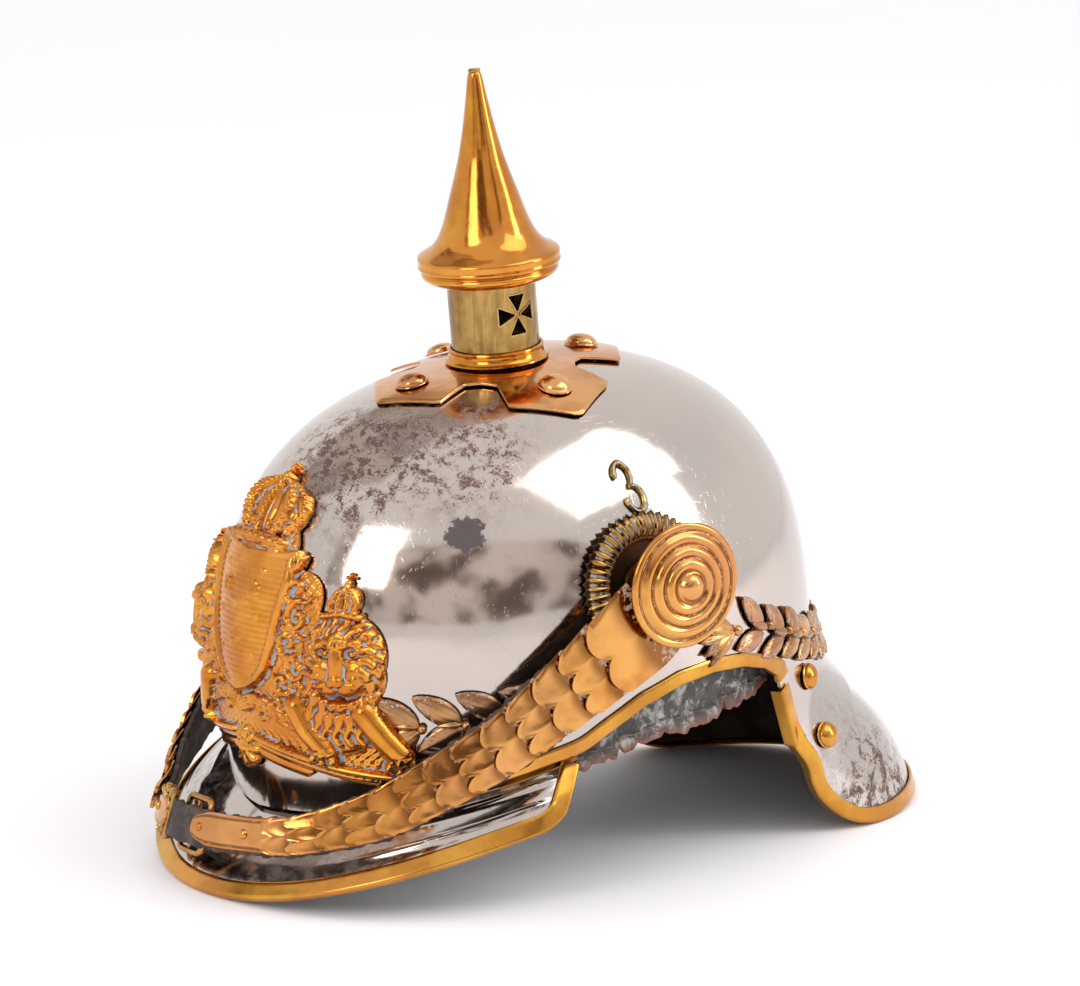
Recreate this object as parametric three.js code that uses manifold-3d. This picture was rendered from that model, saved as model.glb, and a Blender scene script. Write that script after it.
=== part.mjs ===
// Spiked cavalry helmet of polished steel with brass fittings.
// Millimetres. The helmet's own frame has x to the wearer's left, y to the back and z up,
// with its origin on the spike's axis at the level where the skull is widest.
// The finished group is tipped forward until it rests on the visor and the neck guard.

import * as THREE from 'three';
import { mergeVertices } from 'three/addons/utils/BufferGeometryUtils.js';
import Module from 'manifold-3d';

const wasm = await Module();
wasm.setup();

// ---- driving dimensions ----

const GAP = 0.4;                        // clearance between touching pieces
const LAP_GAP = 1.3;                    // clearance where one curved sheet slides inside another
const SKULL = { halfLength: 112.3, halfWidth: 86.2, height: 104.9, crownPower: 2.63, wallPower: 2.49 };
const SKULL_WALL = 1.2;
const VENT_RADIUS = 11;                 // hole in the crown under the spike
const GUARD_RIM = { centreY: 88.8, halfWidth: 70, halfLength: 66.7, level: -76.3 };
const GUARD_WALL = 1.1;
const VISOR_RIM = { centreY: -47, halfWidth: 90, reach: 93.5, sideLevel: -33.7, drop: 20 };
const VISOR_WALL = 1.1;
const VISOR_SWEEP = 74;                 // degrees each side of the front that the visor's root covers
const TRIM_WALL = 0.8;
const REST_TILT = 5.12;                 // degrees the helmet tips forward where it rests
const REST_DEPTH = 67.5;                // floor below the frame's origin once tipped

const COLUMN = { outer: 15.6, inner: 14.4, bottom: 106.6, top: 137 };
const VENT_CROSS = { level: 124.6, inner: 1.3, outer: 7.0, halfSpread: 3.3 };
const STUD_CIRCLE = 35.6;
const ROSETTE = { x: 99.9, y: 4.5, z: 42.0 };
const COCKADE = { x: 83.8, y: 0, z: 40, lean: 8, teeth: 28, radius: 25 };
const SCALE_COUNT = 13;
const STRAP_WALL = 1.8;

const rad = THREE.MathUtils.degToRad;

// ---- finishes ----

const finish = (color, metalness, roughness) => ({ color, metalness, roughness });
const STEEL = finish(0xc9c2bb, 1, 0.18);
const BRASS = finish(0xd09a45, 1, 0.28);
const COPPER = finish(0xc98a5c, 1, 0.25);
const DARK_BRASS = finish(0x8a6a3c, 1, 0.4);
const LEATHER = finish(0x33251d, 0, 0.6);
const GREY_LEATHER = finish(0x77736f, 0, 0.55);

const helmet = new THREE.Group();       // everything in the helmet's own frame
const settled = new THREE.Group();      // the trims that are cut flat where they rest
const assembly = new THREE.Group();
helmet.rotation.x = rad(REST_TILT);
helmet.position.z = REST_DEPTH;
helmet.updateMatrix();

function addPiece(name, geometry, look, group = helmet) {
  const mesh = new THREE.Mesh(geometry, new THREE.MeshStandardMaterial({ ...look, flatShading: true }));
  mesh.name = name;
  group.add(mesh);
  return mesh;
}

// ---- closed bodies from points ----

function signedVolume(position, index) {
  const [a, b, c] = [new THREE.Vector3(), new THREE.Vector3(), new THREE.Vector3()];
  let volume = 0;
  for (let i = 0; i < index.length; i += 3) {
    a.fromBufferAttribute(position, index[i]);
    b.fromBufferAttribute(position, index[i + 1]);
    c.fromBufferAttribute(position, index[i + 2]);
    volume += a.dot(b.cross(c)) / 6;
  }
  return volume;
}

// One closed body: shared vertices are merged, empty triangles dropped, and the faces turned out.
function closedBody(geometry) {
  geometry.deleteAttribute('normal');
  geometry.deleteAttribute('uv');
  const merged = mergeVertices(geometry, 1e-3);
  const source = merged.index.array;
  const index = [];
  for (let i = 0; i < source.length; i += 3) {
    const [a, b, c] = [source[i], source[i + 1], source[i + 2]];
    if (a !== b && b !== c && c !== a) index.push(a, b, c);
  }
  if (signedVolume(merged.attributes.position, index) < 0) {
    for (let i = 0; i < index.length; i += 3) [index[i], index[i + 1]] = [index[i + 1], index[i]];
  }
  merged.setIndex(index);
  merged.computeVertexNormals();
  return merged;
}

function bodyFrom(points, index) {
  const geometry = new THREE.BufferGeometry().setFromPoints(points);
  geometry.setIndex(index);
  return closedBody(geometry);
}

// A sheet between two grids of points with the same rows and columns.
function sheetBody(outer, inner, wrap = false) {
  const rows = outer.length;
  const columns = outer[0].length;
  const points = [...outer.flat(), ...inner.flat()];
  const back = rows * columns;
  const index = [];
  const at = (row, column) => row * columns + (column % columns);
  const quad = (a, b, c, d) => index.push(a, b, c, a, c, d);
  const lastColumn = wrap ? columns : columns - 1;
  for (let row = 0; row < rows - 1; row += 1) {
    for (let column = 0; column < lastColumn; column += 1) {
      const corners = [at(row, column), at(row, column + 1), at(row + 1, column + 1), at(row + 1, column)];
      quad(...corners);
      quad(...corners.map((corner) => corner + back).reverse());
    }
  }
  for (let column = 0; column < lastColumn; column += 1) {
    const low = [at(0, column), at(0, column + 1)];
    const high = [at(rows - 1, column), at(rows - 1, column + 1)];
    quad(low[1], low[0], low[0] + back, low[1] + back);
    quad(high[0], high[1], high[1] + back, high[0] + back);
  }
  if (!wrap) {
    for (let row = 0; row < rows - 1; row += 1) {
      const left = [at(row, 0), at(row + 1, 0)];
      const right = [at(row, columns - 1), at(row + 1, columns - 1)];
      quad(left[0], left[1], left[1] + back, left[0] + back);
      quad(right[1], right[0], right[0] + back, right[1] + back);
    }
  }
  return bodyFrom(points, index);
}

// A body swept through rings of points, each ring laid out as the flat section is.
function sweptBody(rings, section) {
  const count = section.length;
  const index = [];
  for (let ring = 0; ring < rings.length - 1; ring += 1) {
    for (let i = 0; i < count; i += 1) {
      const [a, b] = [ring * count + i, ring * count + ((i + 1) % count)];
      index.push(a, b, b + count, a, b + count, a + count);
    }
  }
  const cap = THREE.ShapeUtils.triangulateShape(section, []);
  const last = (rings.length - 1) * count;
  const wound = THREE.ShapeUtils.area(section) > 0 ? 1 : -1;
  for (const [a, b, c] of cap) {
    if (wound > 0) index.push(c, b, a, last + a, last + b, last + c);
    else index.push(a, b, c, last + c, last + b, last + a);
  }
  return bodyFrom(rings.flat(), index);
}

// A turned body about z from radius and height pairs.
function turnedBody(profile, segments) {
  const points = profile.map(([radius, height]) => new THREE.Vector2(radius, height));
  const geometry = new THREE.LatheGeometry(points, segments);
  geometry.rotateX(Math.PI / 2);
  return closedBody(geometry);
}

// ---- boolean cuts ----

function toManifold(geometry) {
  return new wasm.Manifold(new wasm.Mesh({
    numProp: 3,
    vertProperties: new Float32Array(geometry.attributes.position.array),
    triVerts: new Uint32Array(geometry.index.array),
  }));
}

function cutAway(geometry, ...tools) {
  let solid = toManifold(geometry);
  for (const tool of tools) solid = solid.subtract(toManifold(tool));
  const mesh = solid.getMesh();
  const result = new THREE.BufferGeometry();
  result.setAttribute('position', new THREE.BufferAttribute(mesh.vertProperties, 3));
  result.setIndex(new THREE.BufferAttribute(mesh.triVerts, 1));
  return closedBody(result);
}

// ---- the skull's surface, from which most pieces take their place ----

// Piecewise straight reading of [key, value] pairs.
function readAlong(pairs, key) {
  if (key <= pairs[0][0]) return pairs[0][1];
  for (let i = 1; i < pairs.length; i += 1) {
    const [lastKey, lastValue] = pairs[i - 1];
    const [nextKey, nextValue] = pairs[i];
    if (key <= nextKey) return lastValue + (nextValue - lastValue) * (key - lastKey) / (nextKey - lastKey);
  }
  return pairs[pairs.length - 1][1];
}

// How far the wall stands out at the neck guard's rim, measured along the wall's normal.
function flareReach(foot, normal) {
  const width = GUARD_RIM.halfWidth ** 2;
  const length = GUARD_RIM.halfLength ** 2;
  const y = foot.y - GUARD_RIM.centreY;
  const a = normal.x ** 2 / width + normal.y ** 2 / length;
  const b = foot.x * normal.x / width + y * normal.y / length;
  const c = foot.x ** 2 / width + y ** 2 / length - 1;
  const root = b * b - a * c;
  return root > 0 && c < 0 ? (Math.sqrt(root) - b) / a : 0;
}

// The flare's share of its full reach, from 0 at the widest level to 1 at the rim.
function flareRise(z) {
  const t = Math.min(z / GUARD_RIM.level, 1);
  if (t < 0.5) return 2 * t * t;
  const u = 2 * t - 1;
  const start = 0.5 * (2 * u ** 3 - 3 * u ** 2 + 1) + 0.95 * (u ** 3 - 2 * u ** 2 + u);
  const end = 3 * u ** 2 - 2 * u ** 3 + 0.275 * (u ** 3 - u ** 2);
  return start + end;
}

function skullPoint(phi, z) {
  const [c, s] = [Math.cos(phi), Math.sin(phi)];
  const part = Math.max(z, 0) / SKULL.height;
  const shrink = Math.pow(Math.max(1 - part ** SKULL.crownPower, 0), 1 / SKULL.wallPower);
  const foot = new THREE.Vector3(SKULL.halfWidth * shrink * c, SKULL.halfLength * shrink * s, z);
  if (z < 0 && s > 0) {
    const normal = new THREE.Vector3(c / SKULL.halfWidth, s / SKULL.halfLength, 0).normalize();
    foot.addScaledVector(normal, flareReach(foot, normal) * flareRise(z));
  }
  return foot;
}

function skullNormal(phi, z) {
  const step = 0.002;
  const rise = 0.1;
  const around = skullPoint(phi + step, z).sub(skullPoint(phi - step, z));
  const up = skullPoint(phi, z + rise).sub(skullPoint(phi, z - rise));
  return around.cross(up).normalize();
}

function onSkull(degrees, z, offset = 0) {
  const phi = rad(degrees);
  return skullPoint(phi, z).addScaledVector(skullNormal(phi, z), offset);
}

// Height of the dome above a point of the plan, and the outward normal there.
function domeHeight(x, y) {
  const reach = Math.hypot(x / SKULL.halfWidth, y / SKULL.halfLength) ** SKULL.wallPower;
  return SKULL.height * (1 - reach) ** (1 / SKULL.crownPower);
}

function onDome(x, y, offset) {
  const step = 0.2;
  const slopeX = (domeHeight(x + step, y) - domeHeight(x - step, y)) / (2 * step);
  const slopeY = (domeHeight(x, y + step) - domeHeight(x, y - step)) / (2 * step);
  const normal = new THREE.Vector3(-slopeX, -slopeY, 1).normalize();
  return { normal, point: new THREE.Vector3(x, y, domeHeight(x, y)).addScaledVector(normal, offset) };
}

// ---- skull ----

// The skull's lower edge as [degrees from the wearer's left, height]; the right side mirrors it.
const SKULL_EDGE = [
  [-90, -31.5], [-78, -30], [-66, -28], [-54, -25.2], [-43, -22], [-32, -18.5], [-22, -14.5],
  [-16, -12.0], [-10, -6.6], [-3, -0.6], [5, 3.2], [13, 3.8], [21, 1.6], [28, -3.0], [32.5, -8.5],
  [34, -17], [36, -27], [38.5, -38], [41, -46],
  [43.5, -46.5], [47, -45], [50.5, -42.5], [54, -40], [58, -37.2], [63, -34], [71, -30], [80, -27.5],
  [90, -27],
];
const foldSide = (degrees) => (Math.abs(degrees) > 90 ? Math.sign(degrees) * 180 - degrees : degrees);
const skullEdge = (degrees) => readAlong(SKULL_EDGE, foldSide(degrees));

function skullColumns() {
  const left = SKULL_EDGE.map(([degrees, z]) => [degrees, z]);
  const right = SKULL_EDGE.slice(1, -1).map(([degrees, z]) => [180 - degrees, z]).reverse();
  return [...left, ...right];
}

function skullGrid(offset) {
  const beltLevel = 10;
  const beltRows = 5;
  const domeRows = 9;
  const beltTurn = Math.asin((beltLevel / SKULL.height) ** (SKULL.crownPower / 2));
  const topTurn = Math.acos((VENT_RADIUS / SKULL.halfWidth) ** (SKULL.wallPower / 2));
  const grid = [];
  for (let row = 0; row < beltRows; row += 1) {
    grid.push(skullColumns().map(([degrees, edge]) => (
      onSkull(degrees, THREE.MathUtils.lerp(edge, beltLevel, row / beltRows), offset))));
  }
  for (let row = 0; row <= domeRows; row += 1) {
    const turn = THREE.MathUtils.lerp(beltTurn, topTurn, row / domeRows);
    const z = SKULL.height * Math.sin(turn) ** (2 / SKULL.crownPower);
    grid.push(skullColumns().map(([degrees]) => onSkull(degrees, z, offset)));
  }
  return grid;
}

addPiece('skull', sheetBody(skullGrid(0), skullGrid(-SKULL_WALL), true), STEEL);

// ---- neck guard ----

// The guard's front edge as [height, degrees from the wearer's left].
const GUARD_EDGE = [
  [-75.9, 57], [-75.1, 52.5], [-72.6, 48.6], [-68, 45.6], [-62, 43.3], [-54, 41.6], [-46, 41],
  [-38, 38.5], [-27, 36], [-17, 34],
];
const guardEdge = (z) => readAlong(GUARD_EDGE, z);

const guardHalfShares = [0, 0.03, 0.065, 0.1, 0.14, 0.19, 0.25, 0.32, 0.4, 0.5];
const guardFarShares = guardHalfShares.slice(0, -1).map((share) => 1 - share).reverse();
const guardShares = [...guardHalfShares, ...guardFarShares];

function guardGrid(offset) {
  return GUARD_EDGE.map(([z, degrees]) => guardShares.map((share) => (
    onSkull(THREE.MathUtils.lerp(degrees, 180 - degrees, share), z, offset))));
}

const guardOuter = -SKULL_WALL - LAP_GAP;
addPiece('neck_guard', sheetBody(guardGrid(guardOuter), guardGrid(guardOuter - GUARD_WALL)), STEEL);

// ---- visor ----

const VISOR_CORNER = { start: 0.94, cut: 0.24 };     // where the rear corners start to round, and how deep

function visorRim(u) {
  const turn = rad(90) * u;
  const front = Math.max(Math.cos(turn), 0);
  return new THREE.Vector3(
    VISOR_RIM.halfWidth * Math.sin(turn),
    VISOR_RIM.centreY - VISOR_RIM.reach * front,
    VISOR_RIM.sideLevel - VISOR_RIM.drop * front ** 1.5,
  );
}

const visorRootAngle = (u) => -90 + VISOR_SWEEP * u;

// v runs from 0 at the skull's lower edge to 1 at the rim.
function visorPoint(u, v) {
  const degrees = visorRootAngle(u);
  const root = onSkull(degrees, skullEdge(degrees) - 1, guardOuter);
  const rim = visorRim(u);
  const bulge = 1.6 * 4 * v * (1 - v);
  return root.lerp(rim, v).add(onSkull(degrees, 0, bulge).sub(onSkull(degrees, 0, 0)));
}

function visorNormal(u, v) {
  const step = 0.004;
  const along = visorPoint(Math.min(u + step, 1), v).sub(visorPoint(Math.max(u - step, -1), v));
  const down = visorPoint(u, v + step).sub(visorPoint(u, v - step));
  const normal = down.cross(along).normalize();
  return normal.dot(visorPoint(u, v).setZ(60)) < 0 ? normal.negate() : normal;
}

const onVisor = (u, v, offset) => visorPoint(u, v).addScaledVector(visorNormal(u, v), offset);

function visorEnd(u) {
  const past = Math.max(Math.abs(u) - VISOR_CORNER.start, 0) / (1 - VISOR_CORNER.start);
  return 1 - VISOR_CORNER.cut * (1 - Math.sqrt(Math.max(1 - past * past, 0)));
}

const VISOR_TURNS = [0, 0.11, 0.22, 0.33, 0.44, 0.55, 0.66, 0.76, 0.85, 0.91, 0.94, 0.96, 0.975, 0.99, 1];
const VISOR_ROWS = [0, 0.25, 0.5, 0.75, 1];

function visorGrid(offset) {
  const columns = [...VISOR_TURNS.slice(1).map((u) => -u).reverse(), ...VISOR_TURNS];
  const flangeTop = columns.map((u) => {
    const degrees = visorRootAngle(u);
    return onSkull(degrees, skullEdge(degrees) + 5, guardOuter + offset);
  });
  const rows = VISOR_ROWS.map((v) => columns.map((u) => onVisor(u, v * visorEnd(u), offset)));
  return [flangeTop, ...rows];
}

addPiece('visor', sheetBody(visorGrid(0), visorGrid(-VISOR_WALL)), STEEL);

// ---- brass trims: a band on the outer face that hooks round the sheet's edge ----

function trimSection(width, depth) {
  return [
    [-width, GAP], [-width, GAP + TRIM_WALL], [-width / 2, GAP + TRIM_WALL], [0.7, GAP + TRIM_WALL],
    [1.4, 0.3], [1.4, -depth - GAP], [GAP, -depth - GAP], [GAP, GAP], [-width / 2, GAP],
  ].map(([w, n]) => new THREE.Vector2(w, n));
}

// stations: { point, normal, inside, follow } with inside a point of the sheet beside the edge,
// and follow a step along the curved sheet from the edge, when the sheet is not flat there.
function trimBody(stations, section) {
  const rings = stations.map(({ point, normal, inside, follow }, i) => {
    const before = stations[Math.max(i - 1, 0)].point;
    const after = stations[Math.min(i + 1, stations.length - 1)].point;
    const along = after.clone().sub(before).normalize();
    const across = along.clone().cross(normal).normalize();
    if (across.dot(point.clone().sub(inside)) < 0) across.negate();
    const straightOn = (w) => ({ point: point.clone().addScaledVector(across, w), normal });
    const stepAlong = (w) => (w < 0 && follow ? follow(across, w) : straightOn(w));
    return section.map(({ x, y }) => {
      const seat = stepAlong(x);
      return seat.point.addScaledVector(seat.normal, y);
    });
  });
  return sweptBody(rings, section);
}

// A step of w along the skull's surface from one of its points, in the direction across.
function followSkull(phi, z, sink) {
  return (across, w) => {
    const step = 0.002;
    const aroundStep = skullPoint(phi + step, z).sub(skullPoint(phi - step, z)).divideScalar(2 * step);
    const upStep = skullPoint(phi, z + 0.1).sub(skullPoint(phi, z - 0.1)).divideScalar(0.2);
    const [aa, au, uu] = [aroundStep.dot(aroundStep), aroundStep.dot(upStep), upStep.dot(upStep)];
    const [a, u] = [aroundStep.dot(across) * w, upStep.dot(across) * w];
    const spread = aa * uu - au * au;
    const turned = phi + (a * uu - u * au) / spread;
    const height = z + (u * aa - a * au) / spread;
    const normal = skullNormal(turned, height);
    return { normal, point: skullPoint(turned, height).addScaledVector(normal, sink) };
  };
}

function floorCutter() {
  const size = 600;
  const box = new THREE.BoxGeometry(size, size, 40);
  box.translate(0, 0, -20);
  return closedBody(box);
}

function settle(geometry) {
  geometry.applyMatrix4(helmet.matrix);
  return cutAway(closedBody(geometry), floorCutter());
}

function visorTrimPath() {
  const rear = VISOR_ROWS.slice(1, -1).map((row) => [1, Math.max(row * visorEnd(1), 0.27)]);
  const rim = VISOR_TURNS.map((u) => [u, visorEnd(u)]).reverse();
  const left = [...rear, ...rim];
  const right = left.slice(0, -1).map(([u, v]) => [-u, v]).reverse();
  return [...left, ...right].map(([u, v]) => ({
    point: visorPoint(u, v),
    normal: visorNormal(u, v),
    inside: visorPoint(u * 0.8, 0.45),
  }));
}

addPiece('visor_trim', settle(trimBody(visorTrimPath(), trimSection(6.6, VISOR_WALL))), BRASS, settled);

function guardTrimPath() {
  const start = [33.56, -14.5];
  const front = [start, ...GUARD_EDGE.slice(1).map(([z, degrees]) => [degrees, z]).reverse()];
  const [low, lowDegrees] = GUARD_EDGE[0];
  const bottom = guardHalfShares.map((share) => (
    [THREE.MathUtils.lerp(lowDegrees, 180 - lowDegrees, share), low]
  ));
  const left = [...front, ...bottom];
  const right = left.slice(0, -1).map(([degrees, z]) => [180 - degrees, z]).reverse();
  return [...left, ...right].map(([degrees, z]) => {
    const sink = readAlong([[-59, guardOuter], [-50, 0]], z);
    return {
      point: onSkull(degrees, z, sink),
      normal: skullNormal(rad(degrees), z),
      inside: onSkull(THREE.MathUtils.lerp(degrees, 90, 0.2), z + 4, sink),
      follow: followSkull(rad(degrees), z, sink),
    };
  });
}

const guardStack = -guardOuter + GUARD_WALL;
addPiece('neck_guard_trim', settle(trimBody(guardTrimPath(), trimSection(5.8, guardStack))), BRASS, settled);

function earTrim(side) {
  const degrees = [-32, -27, -22, -19, -16, -13, -10, -6.5, -3, 1, 5, 9, 13, 17, 21, 24.5, 28, 30.5, 32.5];
  return trimBody(degrees.map((angle) => {
    const turned = side > 0 ? angle : 180 - angle;
    return {
      point: onSkull(turned, skullEdge(angle)),
      normal: skullNormal(rad(turned), skullEdge(angle)),
      inside: onSkull(turned, 30),
      follow: followSkull(rad(turned), skullEdge(angle), 0),
    };
  }), trimSection(4.6, SKULL_WALL - GAP));
}

addPiece('ear_trim_left', earTrim(1), BRASS);
addPiece('ear_trim_right', earTrim(-1), BRASS);

// ---- base plate: four pointed arms on the crown ----

const BASE_PLATE = { bore: 13.6, tip: 51, shoulder: [38, 21], notch: 13, wall: 0.9 };

function edgeRadius(angle, from, to) {
  const normal = Math.atan2(to[0] - from[0], from[1] - to[1]);
  const distance = from[0] * Math.cos(normal) + from[1] * Math.sin(normal);
  return distance / Math.cos(angle - normal);
}

function basePlateRadius(offAxis) {
  const { tip, shoulder, notch } = BASE_PLATE;
  const shoulderAngle = Math.atan2(shoulder[1], shoulder[0]);
  if (offAxis < shoulderAngle) return edgeRadius(offAxis, [tip, 0], shoulder);
  return edgeRadius(offAxis, shoulder, [notch, notch]);
}

const plateSeat = 0.8;

function basePlateGrid(offset) {
  const halfArm = [0, 12, 22, 28.9, 31, 34.5, 39, 45];
  const arm = [...halfArm.slice(1).map((degrees) => -degrees).reverse(), ...halfArm.slice(0, -1)];
  const around = [0, 90, 180, 270].flatMap((turn) => arm.map((off) => [turn, off]));
  return [0, 0.34, 0.67, 1].map((share) => around.map(([turn, off]) => {
    const reach = basePlateRadius(rad(Math.abs(off)));
    const radius = THREE.MathUtils.lerp(BASE_PLATE.bore, reach, share);
    const angle = rad(turn + off);
    return onDome(radius * Math.cos(angle), radius * Math.sin(angle), offset).point;
  }));
}

const plateTop = basePlateGrid(plateSeat + BASE_PLATE.wall);
addPiece('base_plate', sheetBody(plateTop, basePlateGrid(plateSeat), true), COPPER);

// ---- studs and rivets ----

function domedStud(washer, radius, height) {
  const profile = [[0, 0], [washer, 0], [washer, 0.6], [radius, 0.7]];
  const steps = 4;
  for (let step = 1; step <= steps; step += 1) {
    const turn = rad(90) * step / steps;
    profile.push([step === steps ? 0 : radius * Math.cos(turn), 0.7 + height * Math.sin(turn)]);
  }
  return turnedBody(profile, 14);
}

function standOn(mesh, point, normal) {
  mesh.position.copy(point);
  mesh.quaternion.setFromUnitVectors(new THREE.Vector3(0, 0, 1), normal);
}

[['left', 1, 0], ['back', 0, 1], ['right', -1, 0], ['front', 0, -1]].forEach(([name, x, y]) => {
  const seat = onDome(x * STUD_CIRCLE, y * STUD_CIRCLE, plateSeat + BASE_PLATE.wall + GAP);
  standOn(addPiece(`base_stud_${name}`, domedStud(6.2, 5, 4.2), COPPER), seat.point, seat.normal);
});

const NECK_RIVETS = [['upper', 45.5, -17], ['lower', 45.8, -39]];
for (const [side, sign] of [['left', 1], ['right', -1]]) {
  for (const [level, degrees, z] of NECK_RIVETS) {
    const turned = sign > 0 ? degrees : 180 - degrees;
    const rivet = addPiece(`neck_rivet_${level}_${side}`, domedStud(4.9, 4.6, 3.4), BRASS);
    standOn(rivet, onSkull(turned, z, GAP + 0.15), skullNormal(rad(turned), z));
  }
}

// ---- spike: collar, vented column and cone ----

addPiece('spike_collar', turnedBody([
  [16.0, 106.9], [18.2, 106.7], [18.4, 107.2], [17.2, 108.2], [16.7, 109.9], [16.9, 111.1], [16.0, 111.7],
  [16.0, 106.9],
], 28), COPPER);

// The vents are two crosses of four splayed arms, one each side.
function ventArm(turn) {
  const { level, inner, outer, halfSpread } = VENT_CROSS;
  const arm = new THREE.Shape([
    new THREE.Vector2(inner, -0.35),
    new THREE.Vector2(outer, -halfSpread),
    new THREE.Vector2(outer, halfSpread),
    new THREE.Vector2(inner, 0.35),
  ]);
  const depth = 2 * COLUMN.outer + 10;
  const cutter = new THREE.ExtrudeGeometry(arm, { depth, bevelEnabled: false });
  cutter.rotateZ(turn);
  cutter.translate(0, 0, -depth / 2);
  cutter.rotateY(Math.PI / 2);
  cutter.translate(0, 0, level);
  return closedBody(cutter);
}

const columnTube = turnedBody([
  [COLUMN.inner, COLUMN.bottom], [COLUMN.outer, COLUMN.bottom],
  [COLUMN.outer, COLUMN.top], [COLUMN.inner, COLUMN.top], [COLUMN.inner, COLUMN.bottom],
], 32);
const ventArms = [0, 1, 2, 3].map((quarter) => ventArm(quarter * Math.PI / 2));
addPiece('spike_column', cutAway(columnTube, ...ventArms), DARK_BRASS);

addPiece('spike_cone', turnedBody([
  [16.0, 134.7], [21.6, 135.1], [22.2, 136.3], [21.8, 137.6], [24.0, 138.6], [25.2, 140.8], [25.3, 142.8],
  [24.2, 145.4], [20.9, 149.4], [17.3, 153.5], [14.9, 158], [12.3, 165], [9.1, 175], [6.6, 185],
  [4.4, 196], [2.7, 206.3], [1.8, 209.1], [0, 209.6],
  [0, 203], [3.4, 195], [8.0, 175], [13.6, 158], [19.4, 149.2], [23.2, 144.2], [23.4, 141.6], [16.0, 137.4],
  [16.0, 134.7],
], 28), BRASS);

// ---- front plate: lower and upper edge at each angle off the front ----

const FRONT_PLATE = [
  [0, -20.2, 85], [2.2, -19.8, 84], [4.5, -17, 80.5], [7, -10.5, 80], [12, -9.5, 78], [17, -10.8, 74],
  [19, -11.2, 60], [24, -13, 52], [29, -14, 54], [33.5, -14.3, 46], [36.3, -14.3, 34], [37.6, -14, 14],
  [40.4, -13, -3],
];

function frontPlateGrid(offset) {
  const mirrored = FRONT_PLATE.slice(1).map(([off, low, high]) => [-off, low, high]).reverse();
  const rows = 7;
  const columns = [...mirrored, ...FRONT_PLATE];
  return Array.from({ length: rows + 1 }, (_, row) => columns.map(([off, low, high]) => (
    onSkull(-90 + off, THREE.MathUtils.lerp(low, high, row / rows), offset))));
}

addPiece('front_plate', sheetBody(frontPlateGrid(3.2), frontPlateGrid(0.8)), BRASS);

// ---- laurel wreath: leafy bands each side and a knot at the back ----

const WREATH_LEVEL = [
  [-50, 1.5], [-40, 3], [-30, 7], [-20, 13], [-8, 20], [6, 22], [14, 19], [22, 13], [32, 5], [43, -2],
  [60, -9], [90, -14],
];
const WREATH_LEAF = { from: -49, to: 84, pitch: 9.5, narrow: 3.2, wide: 9.6 };

function wreathHalfWidth(degrees) {
  const share = ((degrees - WREATH_LEAF.from) / WREATH_LEAF.pitch) % 1;
  return THREE.MathUtils.lerp(WREATH_LEAF.narrow, WREATH_LEAF.wide, Math.sin(Math.PI * share) ** 0.7);
}

// The band narrows to pass between the cockade above and the ear's trim below.
const WREATH_FLOOR = [[34, -4], [44, -9.5], [54, -11], [60, -30]];     // behind the ear, over the rivets

function wreathBand(degrees) {
  const level = readAlong(WREATH_LEVEL, degrees);
  const half = wreathHalfWidth(degrees);
  const y = SKULL.halfLength * Math.sin(rad(degrees));
  const keep = COCKADE.radius + 4.5;
  const ceiling = Math.abs(y) < keep ? COCKADE.z - Math.sqrt(keep * keep - y * y) : 100;
  const floor = degrees < 34 ? skullEdge(degrees) + 6.2 : readAlong(WREATH_FLOOR, degrees);
  return { low: Math.max(level - half, floor), high: Math.min(level + half, ceiling) };
}

function wreathGrid(sign, offset) {
  const columns = Math.round((WREATH_LEAF.to - WREATH_LEAF.from) / WREATH_LEAF.pitch) * 4;
  return [0, 0.5, 1].map((share) => Array.from({ length: columns + 1 }, (_, column) => {
    const degrees = THREE.MathUtils.lerp(WREATH_LEAF.from, WREATH_LEAF.to, column / columns);
    const { low, high } = wreathBand(degrees);
    const lift = offset + (share === 0.5 && offset > 1 ? 0.9 : 0);
    return onSkull(sign > 0 ? degrees : 180 - degrees, THREE.MathUtils.lerp(low, high, share), lift);
  }));
}

addPiece('wreath_left', sheetBody(wreathGrid(1, 1.5), wreathGrid(1, 0.6)), DARK_BRASS);
addPiece('wreath_right', sheetBody(wreathGrid(-1, 1.5), wreathGrid(-1, 0.6)), DARK_BRASS);

function knotGrid(offset) {
  return [-16, -8, 0, 8, 13].map((rise) => [-1, -0.5, 0, 0.5, 1].map((share) => (
    onSkull(90 + share * (rise > 0 ? 2.2 : 4.4), readAlong(WREATH_LEVEL, 90) + 4 + rise, offset))));
}

addPiece('wreath_knot', sheetBody(knotGrid(2.2), knotGrid(GAP)), DARK_BRASS);

// ---- cockades: a toothed ring with a fluted face, and the post that carries the rosette ----

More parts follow.
